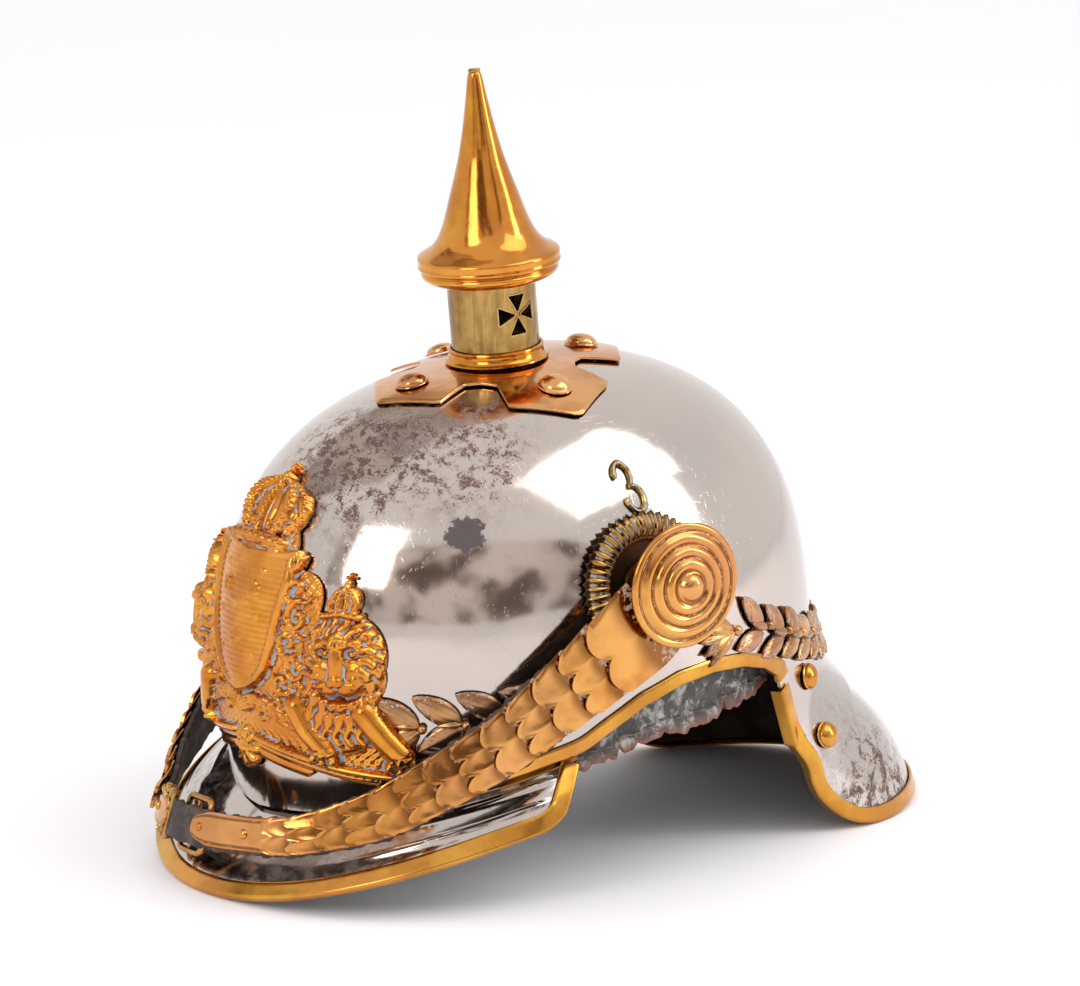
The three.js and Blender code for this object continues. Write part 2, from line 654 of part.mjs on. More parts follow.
function cockadeBody() {
  const { teeth, radius } = COCKADE;
  const profile = [
    [0, 7.2], [8, 7.2], [8.6, 1.6], [16.2, 1.6], [17.4, 3.6], [22.6, 3.2], [radius, 1.0], [radius, 0],
  ];
  const segments = teeth * 2;
  const rings = profile.slice(1).map(([r, z]) => Array.from({ length: segments }, (_, i) => {
    const flute = i % 2 === 1 && r > 17;
    const reach = flute && r > 23 ? r - 2.4 : r;
    const rise = flute && z > 1 ? z - 1.1 : z;
    const angle = 2 * Math.PI * i / segments;
    return new THREE.Vector3(reach * Math.cos(angle), reach * Math.sin(angle), rise);
  }));
  const points = [...rings.flat(), new THREE.Vector3(0, 0, profile[0][1]), new THREE.Vector3(0, 0, 0)];
  const top = rings.length * segments;
  const last = (rings.length - 1) * segments;
  const index = [];
  for (let i = 0; i < segments; i += 1) {
    const next = (i + 1) % segments;
    index.push(top, i, next, top + 1, last + next, last + i);
    for (let ring = 0; ring < last; ring += segments) {
      index.push(ring + i, ring + segments + i, ring + segments + next);
      index.push(ring + i, ring + segments + next, ring + next);
    }
  }
  return bodyFrom(points, index);
}

// ---- rosettes: stepped rings round a boss ----

const ROSETTE_PROFILE = [
  [0, 0], [21.6, 0], [21.8, 0.8], [20.9, 1.7], [18.8, 1.5], [17.6, 2.8], [15.2, 2.8], [14.4, 2.3],
  [13.2, 4.0], [11, 4.1], [10.2, 3.5], [9, 5.1], [7, 5.2], [6, 4.4], [4.2, 4.6], [3.6, 6.2], [2, 7.2], [0, 7.5],
];

for (const [side, sign] of [['left', 1], ['right', -1]]) {
  const cockade = addPiece(`cockade_${side}`, cockadeBody(), DARK_BRASS);
  const outward = new THREE.Vector3(sign * Math.cos(rad(COCKADE.lean)), 0, Math.sin(rad(COCKADE.lean)));
  standOn(cockade, new THREE.Vector3(sign * COCKADE.x, COCKADE.y, COCKADE.z), outward);
  const rosette = addPiece(`rosette_${side}`, turnedBody(ROSETTE_PROFILE, 28), BRASS);
  standOn(rosette, new THREE.Vector3(sign * ROSETTE.x, ROSETTE.y, ROSETTE.z), new THREE.Vector3(sign, 0, 0));
}

// ---- double-scroll ornaments above the cockades ----

const SCROLL = { degrees: 2.2, z: 71.5, loop: 3.7, wall: 1.7, turns: 12 };

// Two open loops, one over the other, as offsets [along the skull, up].
function scrollPath() {
  const { loop, turns } = SCROLL;
  const path = [];
  for (let i = 0; i <= turns; i += 1) {
    const turn = rad(THREE.MathUtils.lerp(190, -75, i / turns));
    path.push([loop * Math.cos(turn) - 1.2, loop * 1.05 + loop * Math.sin(turn)]);
  }
  for (let i = 0; i <= turns; i += 1) {
    const turn = rad(THREE.MathUtils.lerp(75, -190, i / turns));
    path.push([loop * Math.cos(turn) + 1.0, -loop * 1.05 + loop * Math.sin(turn)]);
  }
  return path;
}

function scrollBody(sign) {
  const path = scrollPath();
  const degreesPerMm = 180 / (Math.PI * SKULL.halfLength);
  const surfacePoint = ([along, up], offset) => {
    const degrees = SCROLL.degrees + along * degreesPerMm;
    return onSkull(sign > 0 ? degrees : 180 - degrees, SCROLL.z + up, offset);
  };
  const half = SCROLL.wall / 2;
  const section = [[-half, GAP], [half, GAP], [half * 0.7, 1.8], [-half * 0.7, 1.8]];
  const flat = section.map(([x, y]) => new THREE.Vector2(x, y));
  const rings = path.map((spot, i) => {
    const before = path[Math.max(i - 1, 0)];
    const after = path[Math.min(i + 1, path.length - 1)];
    const length = Math.hypot(after[0] - before[0], after[1] - before[1]);
    const side = [-(after[1] - before[1]) / length, (after[0] - before[0]) / length];
    return section.map(([x, y]) => surfacePoint([spot[0] + side[0] * x, spot[1] + side[1] * x], y));
  });
  return sweptBody(rings, flat);
}

addPiece('scroll_left', scrollBody(1), BRASS);
addPiece('scroll_right', scrollBody(-1), BRASS);

// ---- lining: a leather band inside the skull ----

const LINING = { clear: 7, wall: 2.2, top: 46 };
const LINING_EDGE = [[-90, -24], [-40, -22], [-18, -19], [0, -11], [20, -8], [34, -7], [60, -12], [90, -14]];

function liningGrid(offset) {
  const columns = 36;
  const rows = 4;
  return Array.from({ length: rows + 1 }, (_, row) => Array.from({ length: columns }, (__, column) => {
    const degrees = -90 + 360 * column / columns;
    const folded = degrees > 90 ? 180 - degrees : degrees;
    const z = THREE.MathUtils.lerp(readAlong(LINING_EDGE, folded), LINING.top, row / rows);
    const flat = onSkull(degrees, Math.max(z, 0), offset);
    return new THREE.Vector3(flat.x, flat.y, Math.min(z, flat.z));
  }));
}

const liningOuter = -SKULL_WALL - LINING.clear;
const liningInner = liningOuter - LINING.wall;
addPiece('lining', sheetBody(liningGrid(liningOuter), liningGrid(liningInner), true), GREY_LEATHER);

// ---- chin strap: leather loop, overlapping scales, end plates and buckle ----

// The loop's left half from the rosette to the front, then round the front to the right side.
const STRAP_SIDE = [
  [95.4, 6, 43.2], [94.6, -4, 33.5], [92.2, -27, 19.5], [89.3, -41.7, 10.8], [83.1, -62.9, -2.9],
  [72.8, -86, -14.9], [63.6, -100.7, -22.6], [51.7, -114.5, -27.4], [40, -124.3, -30.6],
];
const STRAP_FRONT = [[22, -132.6, -32], [2, -137, -33.2], [-18, -137.4, -33.6], [-34, -131.5, -33.4]];

const strapCurve = new THREE.CatmullRomCurve3([
  ...STRAP_SIDE, ...STRAP_FRONT, ...STRAP_SIDE.map(([x, y, z]) => [-x, y, z]).reverse(),
].map(([x, y, z]) => new THREE.Vector3(x, y, z)), false, 'centripetal');
strapCurve.arcLengthDivisions = 2000;
const strapLength = strapCurve.getLength();

// Half width of the scales at a distance from the nearer rosette.
const SCALE_HALF_WIDTH = [
  [10, 17], [22, 17], [48, 13.6], [75, 10.6], [105, 9.6], [130, 8.6], [155, 7], [180, 6], [240, 6],
];
const halfWidthAt = (s) => readAlong(SCALE_HALF_WIDTH, Math.min(s, strapLength - s));

function strapFrame(s) {
  const at = s / strapLength;
  const point = strapCurve.getPointAt(at);
  const along = strapCurve.getTangentAt(at);
  const toFront = Math.min(s, strapLength - s) / (strapLength / 2);
  const lean = 0.45 * toFront ** 2;
  const outward = new THREE.Vector3(point.x / SKULL.halfWidth ** 2, point.y / SKULL.halfLength ** 2, 0);
  outward.normalize().setZ(lean);
  outward.addScaledVector(along, -outward.dot(along)).normalize();
  return { point, along, outward, across: along.clone().cross(outward) };
}

const offStrap = (s, across, out) => {
  const frame = strapFrame(s);
  return frame.point.addScaledVector(frame.across, across).addScaledVector(frame.outward, out);
};

function strapBody() {
  const steps = 60;
  const corners = [[-1, 0], [1, 0], [1, -STRAP_WALL], [-1, -STRAP_WALL]];
  const section = corners.map(([x, y]) => new THREE.Vector2(x, y));
  const rings = Array.from({ length: steps + 1 }, (_, step) => {
    const s = strapLength * step / steps;
    const half = Math.min(halfWidthAt(s), 11) - 0.6;
    return section.map(({ x, y }) => offStrap(s, x * half, y));
  });
  return sweptBody(rings, section);
}

addPiece('chin_strap', strapBody(), LEATHER);

// A scale crowns across its width; its free end has two or three lobes and lies over the next scale.
const SCALE = {
  start: 16, firstLength: 26, firstPitch: 12.4, lastPitch: 9.9, lap: 3.2, wall: 0.8, rise: 1.5,
};
const scaleEnds = [SCALE.start + SCALE.firstLength];
for (let i = 1; i < SCALE_COUNT; i += 1) {
  const share = (i - 1) / (SCALE_COUNT - 2);
  const pitch = THREE.MathUtils.lerp(SCALE.firstPitch, SCALE.lastPitch, share);
  scaleEnds.push(scaleEnds[i - 1] + pitch);
}

// The side is 1 for the left half of the loop, measured from the left rosette, and -1 for the right.
const offSide = (side, s, across, out) => offStrap(side > 0 ? s : strapLength - s, side * across, out);

function scaleGrid(side, from, to, lobes, offset) {
  const across = Array.from({ length: 13 }, (_, i) => i / 6 - 1);
  return [0, 0.33, 0.66, 1].map((share) => across.map((x) => {
    const lobe = Math.abs(Math.sin((x + 1) / 2 * Math.PI * lobes)) ** 0.6;
    const end = to - (1 - lobe) * SCALE.lap * 0.9;
    const s = THREE.MathUtils.lerp(from, end, share);
    const climb = SCALE.rise * (s - from) / (to - from);
    const crown = 0.5 * (1 - x * x);
    return offSide(side, s, x * halfWidthAt(s), offset + climb + crown);
  }));
}

scaleEnds.forEach((end, i) => {
  const from = i === 0 ? SCALE.start : scaleEnds[i - 1] - SCALE.lap;
  const lobes = i % 2 === 0 ? 2 : 3;
  const label = String(i + 1).padStart(2, '0');
  for (const [name, side] of [['left', 1], ['right', -1]]) {
    const outer = scaleGrid(side, from, end, lobes, GAP + SCALE.wall);
    const inner = scaleGrid(side, from, end, lobes, GAP);
    addPiece(`scale_${name}_${label}`, sheetBody(outer, inner), BRASS);
  }
});

// The last plates: a round-ended tongue on the left and a short plate before the buckle on the right.
function endPlate(from, to) {
  const shares = [0, 0.2, 0.4, 0.6, 0.8, 0.92, 1];
  const grid = (offset) => shares.map((share) => [-1, -0.5, 0, 0.5, 1].map((x) => {
    const s = THREE.MathUtils.lerp(from, to, share);
    const round = share > 0.7 ? Math.sqrt(1 - ((share - 0.7) / 0.3) ** 2 * 0.8) : 1;
    return offStrap(s, x * halfWidthAt(s) * round, offset + 0.4 * (1 - x * x));
  }));
  return sheetBody(grid(GAP + SCALE.wall), grid(GAP));
}

const lastScaleEnd = scaleEnds[SCALE_COUNT - 1];
addPiece('tongue_plate', endPlate(lastScaleEnd - SCALE.lap, lastScaleEnd + 35), BRASS);
const endPlateStart = strapLength - lastScaleEnd + SCALE.lap / 2;
addPiece('buckle_plate', endPlate(endPlateStart, endPlateStart - 17), BRASS);

const BUCKLE = { s: endPlateStart - 29, length: 17, width: 21, bar: 2.4 };

function buckleBody() {
  const { length, width, bar } = BUCKLE;
  const frame = (half, reach) => [[-half, -reach], [half, -reach], [half, reach], [-half, reach]];
  const shape = new THREE.Shape(frame(length / 2, width / 2).map(([x, y]) => new THREE.Vector2(x, y)));
  const opening = frame(length / 2 - bar, width / 2 - bar).map(([x, y]) => new THREE.Vector2(x, y));
  shape.holes.push(new THREE.Path(opening));
  const geometry = new THREE.ExtrudeGeometry(shape, { depth: bar, bevelEnabled: false });
  return closedBody(geometry);
}

const buckle = addPiece('buckle', buckleBody(), BRASS);
const buckleFrame = strapFrame(BUCKLE.s);
buckle.quaternion.setFromRotationMatrix(new THREE.Matrix4().makeBasis(
  buckleFrame.along, buckleFrame.across, buckleFrame.outward.clone().negate()));
buckle.position.copy(offStrap(BUCKLE.s, 0, -STRAP_WALL - 1.4));

// ---- the origin goes under the middle of the whole ----

assembly.add(helmet, settled);
assembly.updateMatrixWorld(true);
const extent = new THREE.Box3().setFromObject(assembly, true);
const middle = extent.getCenter(new THREE.Vector3());
assembly.position.set(-middle.x, -middle.y, -extent.min.z);

export default assembly;
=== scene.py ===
"""A spiked cavalry helmet of polished steel and brass, standing on its visor and neck guard.

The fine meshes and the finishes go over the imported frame. Sizes are millimetres in the helmet's
own frame: x to the wearer's left, y to the back, z up, from the spike's axis at the level where
the skull is widest. tip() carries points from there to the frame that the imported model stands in.
"""
import math
import random

import bpy
import numpy as np
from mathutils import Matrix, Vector


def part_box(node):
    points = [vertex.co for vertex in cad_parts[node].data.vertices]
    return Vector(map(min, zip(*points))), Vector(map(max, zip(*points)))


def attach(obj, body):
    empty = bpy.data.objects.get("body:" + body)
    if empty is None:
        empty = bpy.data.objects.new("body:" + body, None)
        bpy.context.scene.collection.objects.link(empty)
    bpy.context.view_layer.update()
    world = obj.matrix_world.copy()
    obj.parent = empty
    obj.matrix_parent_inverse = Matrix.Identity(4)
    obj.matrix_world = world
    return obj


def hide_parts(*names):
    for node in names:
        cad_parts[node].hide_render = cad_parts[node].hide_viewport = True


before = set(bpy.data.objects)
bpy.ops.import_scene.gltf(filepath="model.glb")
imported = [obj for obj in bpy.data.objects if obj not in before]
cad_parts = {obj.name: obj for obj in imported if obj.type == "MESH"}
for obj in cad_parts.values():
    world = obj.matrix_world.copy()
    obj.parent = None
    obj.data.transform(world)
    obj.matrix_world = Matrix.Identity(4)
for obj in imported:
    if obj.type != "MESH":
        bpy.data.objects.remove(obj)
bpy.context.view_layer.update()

MM = 0.001
SEED = 7
BAR_CORNERS = 10

# ---------------------------------------------------------------- driving sizes, mm and degrees
HALF_LENGTH, HALF_WIDTH, CROWN_HEIGHT = 112.3, 86.2, 104.9
CROWN_POWER, WALL_POWER = 2.63, 2.49
SKULL_WALL = 1.2
VENT_RADIUS = 11.0
LAP = 1.3                                   # play between the skull and the sheets tucked under it
GUARD_RIM = {"centre": 88.8, "half_width": 70.0, "half_length": 66.7, "level": -76.3}
GUARD_WALL = VISOR_WALL = 1.1
VISOR_RIM = {"centre": -47.0, "half_width": 90.0, "reach": 93.5, "side": -33.7, "drop": 20.0}
VISOR_SWEEP = 74.0
REST_TILT = math.radians(5.12)
ROSETTE_CENTRE = (0.0, 4.5, 42.0)
COCKADE_CENTRE, COCKADE_LEAN = (83.8, 0.0, 40.0), math.radians(8)

# lower edge of the skull: degrees from the wearer's left, height
SKULL_EDGE = [
    (-90, -31.5), (-78, -30), (-66, -28), (-54, -25.2), (-43, -22), (-32, -18.5), (-22, -14.5),
    (-16, -12.0), (-10, -6.6), (-3, -0.6), (5, 3.2), (13, 3.8), (21, 1.6), (28, -3.0), (32.5, -8.5),
    (34, -17), (36, -27), (38.5, -38), (41, -46),
    (43.5, -46.5), (47, -45), (50.5, -42.5), (54, -40), (58, -37.2), (63, -34), (71, -30), (80, -27.5),
    (90, -27),
]
# front edge of the neck guard: height, degrees
GUARD_EDGE = [
    (-75.9, 57), (-75.1, 52.5), (-72.6, 48.6), (-68, 45.6), (-62, 43.3), (-54, 41.6), (-46, 41),
    (-38, 38.5), (-27, 36), (-17, 34),
]


def rows(box):
    return np.array(box[0]) / MM, np.array(box[1]) / MM


def helmet_origin():
    """Where the helmet frame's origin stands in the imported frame, read from the rosettes."""
    low, high = rows(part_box("rosette_left"))
    _, y, z = ROSETTE_CENTRE
    middle = (low + high) / 2
    c, s = math.cos(REST_TILT), math.sin(REST_TILT)
    return np.array([0.0, middle[1] - (y * c - z * s), middle[2] - (y * s + z * c)])


ORIGIN = helmet_origin()
TIP = np.array([
    [1, 0, 0],
    [0, math.cos(REST_TILT), -math.sin(REST_TILT)],
    [0, math.sin(REST_TILT), math.cos(REST_TILT)],
])


def tip(points):
    """Helmet-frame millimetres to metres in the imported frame."""
    return (np.asarray(points, float) @ TIP.T + ORIGIN) * MM


# ---------------------------------------------------------------- curves and the skull's surface
def unit(vectors):
    length = np.linalg.norm(vectors, axis=-1, keepdims=True)
    return vectors / np.maximum(length, 1e-12)


def along(pairs, key):
    """Straight-line reading of [key, value] pairs."""
    keys, values = zip(*pairs)
    return np.interp(key, keys, values)


def eased(pairs, key):
    """Rounded reading of [key, value] pairs that never overshoots them."""
    keys, values = (np.array(column, float) for column in zip(*pairs))
    steps, rises = np.diff(keys), np.diff(values)
    slopes = rises / steps
    tangents = np.zeros_like(keys)
    same = slopes[:-1] * slopes[1:] > 0
    tangents[1:-1][same] = 2 / (1 / slopes[:-1][same] + 1 / slopes[1:][same])
    key = np.clip(key, keys[0], keys[-1])
    i = np.clip(np.searchsorted(keys, key) - 1, 0, len(steps) - 1)
    t = (key - keys[i]) / steps[i]
    h = steps[i]
    return (values[i] * (2 * t**3 - 3 * t**2 + 1) + tangents[i] * h * (t**3 - 2 * t**2 + t)
            + values[i + 1] * (3 * t**2 - 2 * t**3) + tangents[i + 1] * h * (t**3 - t**2))


def fold(degrees):
    """The matching angle on the wearer's left, between -90 at the front and 90 at the back."""
    degrees = (np.asarray(degrees, float) + 180) % 360 - 180
    return np.where(degrees > 90, 180 - degrees, np.where(degrees < -90, -180 - degrees, degrees))


def skull_edge(degrees):
    return along(SKULL_EDGE, fold(degrees))


def flare_reach(foot, normal):
    width, length = GUARD_RIM["half_width"] ** 2, GUARD_RIM["half_length"] ** 2
    y = foot[..., 1] - GUARD_RIM["centre"]
    a = normal[..., 0] ** 2 / width + normal[..., 1] ** 2 / length
    b = foot[..., 0] * normal[..., 0] / width + y * normal[..., 1] / length
    c = foot[..., 0] ** 2 / width + y**2 / length - 1
    root = b * b - a * c
    return np.where((root > 0) & (c < 0), (np.sqrt(np.maximum(root, 0)) - b) / a, 0.0)


def flare_rise(z):
    t = np.clip(z / GUARD_RIM["level"], 0, 1)
    u = 2 * t - 1
    low = 2 * t * t
    high = (0.5 * (2 * u**3 - 3 * u**2 + 1) + 0.95 * (u**3 - 2 * u**2 + u)
            + 3 * u**2 - 2 * u**3 + 0.275 * (u**3 - u**2))
    return np.where(t < 0.5, low, high)


def skull_point(phi, z):
    phi, z = np.broadcast_arrays(np.asarray(phi, float), np.asarray(z, float))
    c, s = np.cos(phi), np.sin(phi)
    part = np.clip(z / CROWN_HEIGHT, 0, 1)
    shrink = np.maximum(1 - part**CROWN_POWER, 0) ** (1 / WALL_POWER)
    foot = np.stack([HALF_WIDTH * shrink * c, HALF_LENGTH * shrink * s, z], -1)
    normal = unit(np.stack([c / HALF_WIDTH, s / HALF_LENGTH, 0 * c], -1))
    reach = np.where((z < 0) & (s > 0), flare_reach(foot, normal) * flare_rise(z), 0)
    return foot + normal * reach[..., None]


def skull_normal(phi, z):
    turn, rise = 0.002, 0.1
    around = skull_point(phi + turn, z) - skull_point(phi - turn, z)
    up = skull_point(phi, np.asarray(z) + rise) - skull_point(phi, np.asarray(z) - rise)
    return unit(np.cross(around, up))


def on_skull(degrees, z, offset=0.0):
    phi = np.radians(degrees)
    return skull_point(phi, z) + skull_normal(phi, z) * np.asarray(offset, float)[..., None]


def dome_height(x, y):
    reach = np.hypot(x / HALF_WIDTH, y / HALF_LENGTH) ** WALL_POWER
    return CROWN_HEIGHT * (1 - reach) ** (1 / CROWN_POWER)


def on_dome(x, y, offset=0.0):
    step = 0.2
    slope_x = (dome_height(x + step, y) - dome_height(x - step, y)) / (2 * step)
    slope_y = (dome_height(x, y + step) - dome_height(x, y - step)) / (2 * step)
    normal = unit(np.stack([-slope_x, -slope_y, np.ones_like(slope_x)], -1))
    return np.stack([x, y, dome_height(x, y)], -1) + normal * np.asarray(offset, float)[..., None]


# ---------------------------------------------------------------- meshes from points
def make_piece(name, points, faces, finish, replaces=(), slot=None, sharp=40, recess=None, second=None):
    """One smooth-shaded piece on the frame. points are helmet-frame mm; second = (finish, face numbers)."""
    mesh = bpy.data.meshes.new(name)
    mesh.from_pydata(tip(points).tolist(), [], faces)
    mesh.validate()
    mesh.materials.append(finish)
    if second is not None:
        mesh.materials.append(second[0])
        numbers = np.zeros(len(mesh.polygons), dtype=np.int32)
        numbers[second[1]] = 1
        mesh.polygons.foreach_set("material_index", numbers)
    if recess is not None:
        layer = mesh.attributes.new("recess", "FLOAT", "POINT")
        layer.data.foreach_set("value", np.asarray(recess, dtype=np.float32))
    mesh.polygons.foreach_set("use_smooth", np.ones(len(mesh.polygons), dtype=bool))
    mesh.set_sharp_from_angle(angle=math.radians(sharp))
    mesh.update()
    piece = bpy.data.objects.new(name, mesh)
    bpy.context.scene.collection.objects.link(piece)
    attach(piece, "root")
    if replaces:
        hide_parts(*([replaces] if isinstance(replaces, str) else replaces))
    return piece


def grid_faces(count_rows, count_columns, start=0, wrap=False, flip=False):
    """Quads over a grid of points laid row after row."""
    faces = []
    last = count_columns if wrap else count_columns - 1
    for row in range(count_rows - 1):
        base = start + row * count_columns
        for column in range(last):
            nxt = (column + 1) % count_columns
            quad = (base + column, base + nxt, base + count_columns + nxt, base + count_columns + column)
            faces.append(quad[::-1] if flip else quad)
    return faces


def sheet_parts(outer, inner, wrap=False):
    """Points and faces of a closed sheet between two grids of the same shape, (rows, columns, 3)."""
    count_rows, count_columns = outer.shape[:2]
    size = count_rows * count_columns
    points = np.concatenate([outer.reshape(-1, 3), inner.reshape(-1, 3)])
    front = grid_faces(count_rows, count_columns, 0, wrap)
    back = grid_faces(count_rows, count_columns, size, wrap, flip=True)
    rim = []
    last = count_columns if wrap else count_columns - 1
    top = (count_rows - 1) * count_columns
    for column in range(last):
        nxt = (column + 1) % count_columns
        rim.append((nxt, column, column + size, nxt + size))
        rim.append((top + column, top + nxt, top + nxt + size, top + column + size))
    if not wrap:
        for row in range(count_rows - 1):
            a, b = row * count_columns, (row + 1) * count_columns
            rim.append((a, b, b + size, a + size))
            a, b = a + count_columns - 1, b + count_columns - 1
            rim.append((b, a, a + size, b + size))
    return points, front, back, rim


def outward(points, faces):
    """The faces, turned so that the closed body they make faces out."""
    volume = 0.0
    for face in faces:
        a = points[face[0]]
        for i in range(1, len(face) - 1):
            volume += a @ np.cross(points[face[i]], points[face[i + 1]])
    return faces if volume > 0 else [face[::-1] for face in faces]


def sheet(name, outer, inner, finish, wrap=False, inside=None, recess=None, **words):
    """A closed sheet; inside is the finish of its inner face."""
    points, front, back, rim = sheet_parts(outer, inner, wrap)
    faces = outward(points, front + back + rim)
    second = None
    if inside is not None:
        second = (inside, range(len(front), len(front) + len(back)))
    if recess is not None:
        recess = np.concatenate([np.ravel(recess), np.zeros(inner.shape[0] * inner.shape[1])])
    return make_piece(name, points, faces, finish, second=second, recess=recess, **words)


def swept_parts(rings, closed=False):
    """Points and faces of a bar through rings of points, (rings, points, 3), capped unless closed."""
    count, size = rings.shape[:2]
    faces = grid_faces(count, size, 0, wrap=True)
    if closed:
        base = (count - 1) * size
        for i in range(size):
            nxt = (i + 1) % size
            faces.append((base + i, base + nxt, nxt, i))
    else:
        faces.append(tuple(range(size))[::-1])
        faces.append(tuple(range((count - 1) * size, count * size)))
    points = rings.reshape(-1, 3)
    return points, outward(points, faces)


def joined(parts):
    """Several (points, faces) bodies as one."""
    points, faces, start = [], [], 0
    for part_points, part_faces in parts:
        points.append(part_points)
        faces += [tuple(i + start for i in face) for face in part_faces]
        start += len(part_points)
    return np.concatenate(points), faces


def turned_parts(profile, segments=72):
    """A turned body about z from radius and height pairs; both ends on the axis or a closed loop."""
    angles = np.linspace(0, 2 * np.pi, segments, endpoint=False)
    points, faces, rings = [], [], []
    for radius, height in profile:
        if radius < 1e-6:
            rings.append([len(points)])
            points.append((0, 0, height))
        else:
            rings.append(list(range(len(points), len(points) + segments)))
            points += [(radius * math.cos(a), radius * math.sin(a), height) for a in angles]
    pairs = list(zip(rings, rings[1:]))
    if len(rings[0]) > 1 and len(rings[-1]) > 1:
        pairs.append((rings[-1], rings[0]))
    for low, high in pairs:
        for i in range(segments):
            j = (i + 1) % segments
            if len(low) == 1 and len(high) > 1:
                faces.append((low[0], high[j], high[i]))
            elif len(high) == 1 and len(low) > 1:
                faces.append((low[i], low[j], high[0]))
            elif len(low) > 1:
                faces.append((low[i], low[j], high[j], high[i]))
    points = np.array(points, float)
    return points, outward(points, faces)


def head_outline(radius, base, height, first, count):
    """The outline of a rounded head from its shoulder, first radians up, to its axis."""
    curve = [(radius * math.cos(a), base + height * math.sin(a))
             for a in np.linspace(first, math.pi / 2, count)]
    return curve[:-1] + [(0, curve[-1][1])]


def round_bar(path, side, up, wide, deep):
    """Rings of a rounded bar along a path, wide along side and deep along up."""
    turns = np.linspace(0, 2 * np.pi, BAR_CORNERS, endpoint=False)
    return np.stack([path + side * wide * math.cos(a) + up * deep * math.sin(a) for a in turns], 1)


def stand(points, place, normal):
    """Points modelled about +z, stood at a place with z along normal."""
    normal = unit(np.asarray(normal, float))
    turn = np.array(Vector((0, 0, 1)).rotation_difference(Vector(normal)).to_matrix())
    return points @ turn.T + np.asarray(place, float)


def mirrored(points):
    return points * np.array([-1, 1, 1])


SIDES = (("left", 1), ("right", -1))


def to_side(degrees, sign):
    """Degrees on the wearer's left, carried over to the right where sign is -1."""
    return degrees if sign > 0 else 180 - degrees


def rounded(profile, steps, reach):
    """The profile with each corner eased into a short curve over that share of its sides."""
    profile = [np.array(p, float) for p in profile]
    out = [profile[0]]
    for before, corner, after in zip(profile, profile[1:], profile[2:]):
        start = corner + (before - corner) * reach
        end = corner + (after - corner) * reach
        for t in np.linspace(0, 1, steps):
            out.append((1 - t) ** 2 * start + 2 * t * (1 - t) * corner + t**2 * end)
    out.append(profile[-1])
    return [tuple(p) for p in out]


# ---------------------------------------------------------------- node groups shared by the finishes
def new_group(name, inputs, outputs):
    group = bpy.data.node_groups.new(name, "ShaderNodeTree")
    for label, kind, default in inputs:
        socket = group.interface.new_socket(label, in_out="INPUT", socket_type=f"NodeSocket{kind}")
        socket.default_value = default
    for label, kind in outputs:
        group.interface.new_socket(label, in_out="OUTPUT", socket_type=f"NodeSocket{kind}")
    return group, group.nodes.new("NodeGroupInput"), group.nodes.new("NodeGroupOutput")


class Web:
    """Short hands for placing and joining shader nodes in one tree."""

    def __init__(self, tree):
        self.tree = tree
        self.here = tree.nodes.new("ShaderNodeTexCoord").outputs["Object"]

    def feed(self, socket, value):
        if isinstance(value, bpy.types.NodeSocket):
            self.tree.links.new(value, socket)
        else:
            socket.default_value = value

    def maths(self, kind, a, b):
        node = self.tree.nodes.new("ShaderNodeMath")
        node.operation = kind
        for socket, value in zip(node.inputs, (a, b)):
            self.feed(socket, value)
        return node.outputs[0]

    def noise(self, scale, detail=4.0, roughness=0.55, distortion=0.0, where=None):
        node = self.tree.nodes.new("ShaderNodeTexNoise")
        self.feed(node.inputs["Vector"], where or self.here)
        self.feed(node.inputs["Scale"], scale)
        self.feed(node.inputs["Detail"], detail)
        self.feed(node.inputs["Roughness"], roughness)
        self.feed(node.inputs["Distortion"], distortion)
        return node.outputs["Fac"]

    def cells(self, scale, feature="F1"):
        node = self.tree.nodes.new("ShaderNodeTexVoronoi")
        node.feature = feature
        self.feed(node.inputs["Vector"], self.here)
        self.feed(node.inputs["Scale"], scale)
        return node.outputs["Distance"]

    def stretched(self, factors, turn=(0, 0, 0)):
        node = self.tree.nodes.new("ShaderNodeMapping")
        self.feed(node.inputs["Vector"], self.here)
        node.inputs["Scale"].default_value = factors
        node.inputs["Rotation"].default_value = turn
        return node.outputs[0]

    def ramp(self, value, low, high, first=0.0, last=1.0):
        """value between low and high becomes first to last, eased at both ends."""
        node = self.tree.nodes.new("ShaderNodeMapRange")
        node.interpolation_type = "SMOOTHSTEP"
        for label, number in (("Value", value), ("From Min", low), ("From Max", high), ("To Min", first),
                              ("To Max", last)):
            self.feed(node.inputs[label], number)
        return node.outputs["Result"]

    def blend(self, share, first, second):
        node = self.tree.nodes.new("ShaderNodeMix")
        node.data_type, node.blend_type, node.clamp_factor = "RGBA", "MIX", True
        self.feed(node.inputs["Factor"], share)
        self.feed(node.inputs["A"], colour(first))
        self.feed(node.inputs["B"], colour(second))
        return node.outputs["Result"]

    def spot(self, place, radius, soft):
        """1 within radius of a helmet-frame place, fading to 0 over soft; all mm."""
        node = self.tree.nodes.new("ShaderNodeVectorMath")
        node.operation = "DISTANCE"
        self.feed(node.inputs[0], self.here)
        node.inputs[1].default_value = tip(place)
        return self.ramp(node.outputs["Value"], radius * MM, (radius + soft) * MM, 1.0, 0.0)

    def attribute(self, name):
        node = self.tree.nodes.new("ShaderNodeAttribute")
        node.attribute_name = name
        return node.outputs["Fac"]

    def group(self, tree, **values):
        node = self.tree.nodes.new("ShaderNodeGroup")
        node.node_tree = tree
        for label, value in values.items():
            self.feed(node.inputs[label], value)
        return node.outputs


def colour(value):
    """A colour as seen on a screen, turned into the light it stands for; sockets pass through."""
    if isinstance(value, tuple) and len(value) == 3:
        return (*(((c + 0.055) / 1.055) ** 2.4 for c in value), 1.0)
    return value


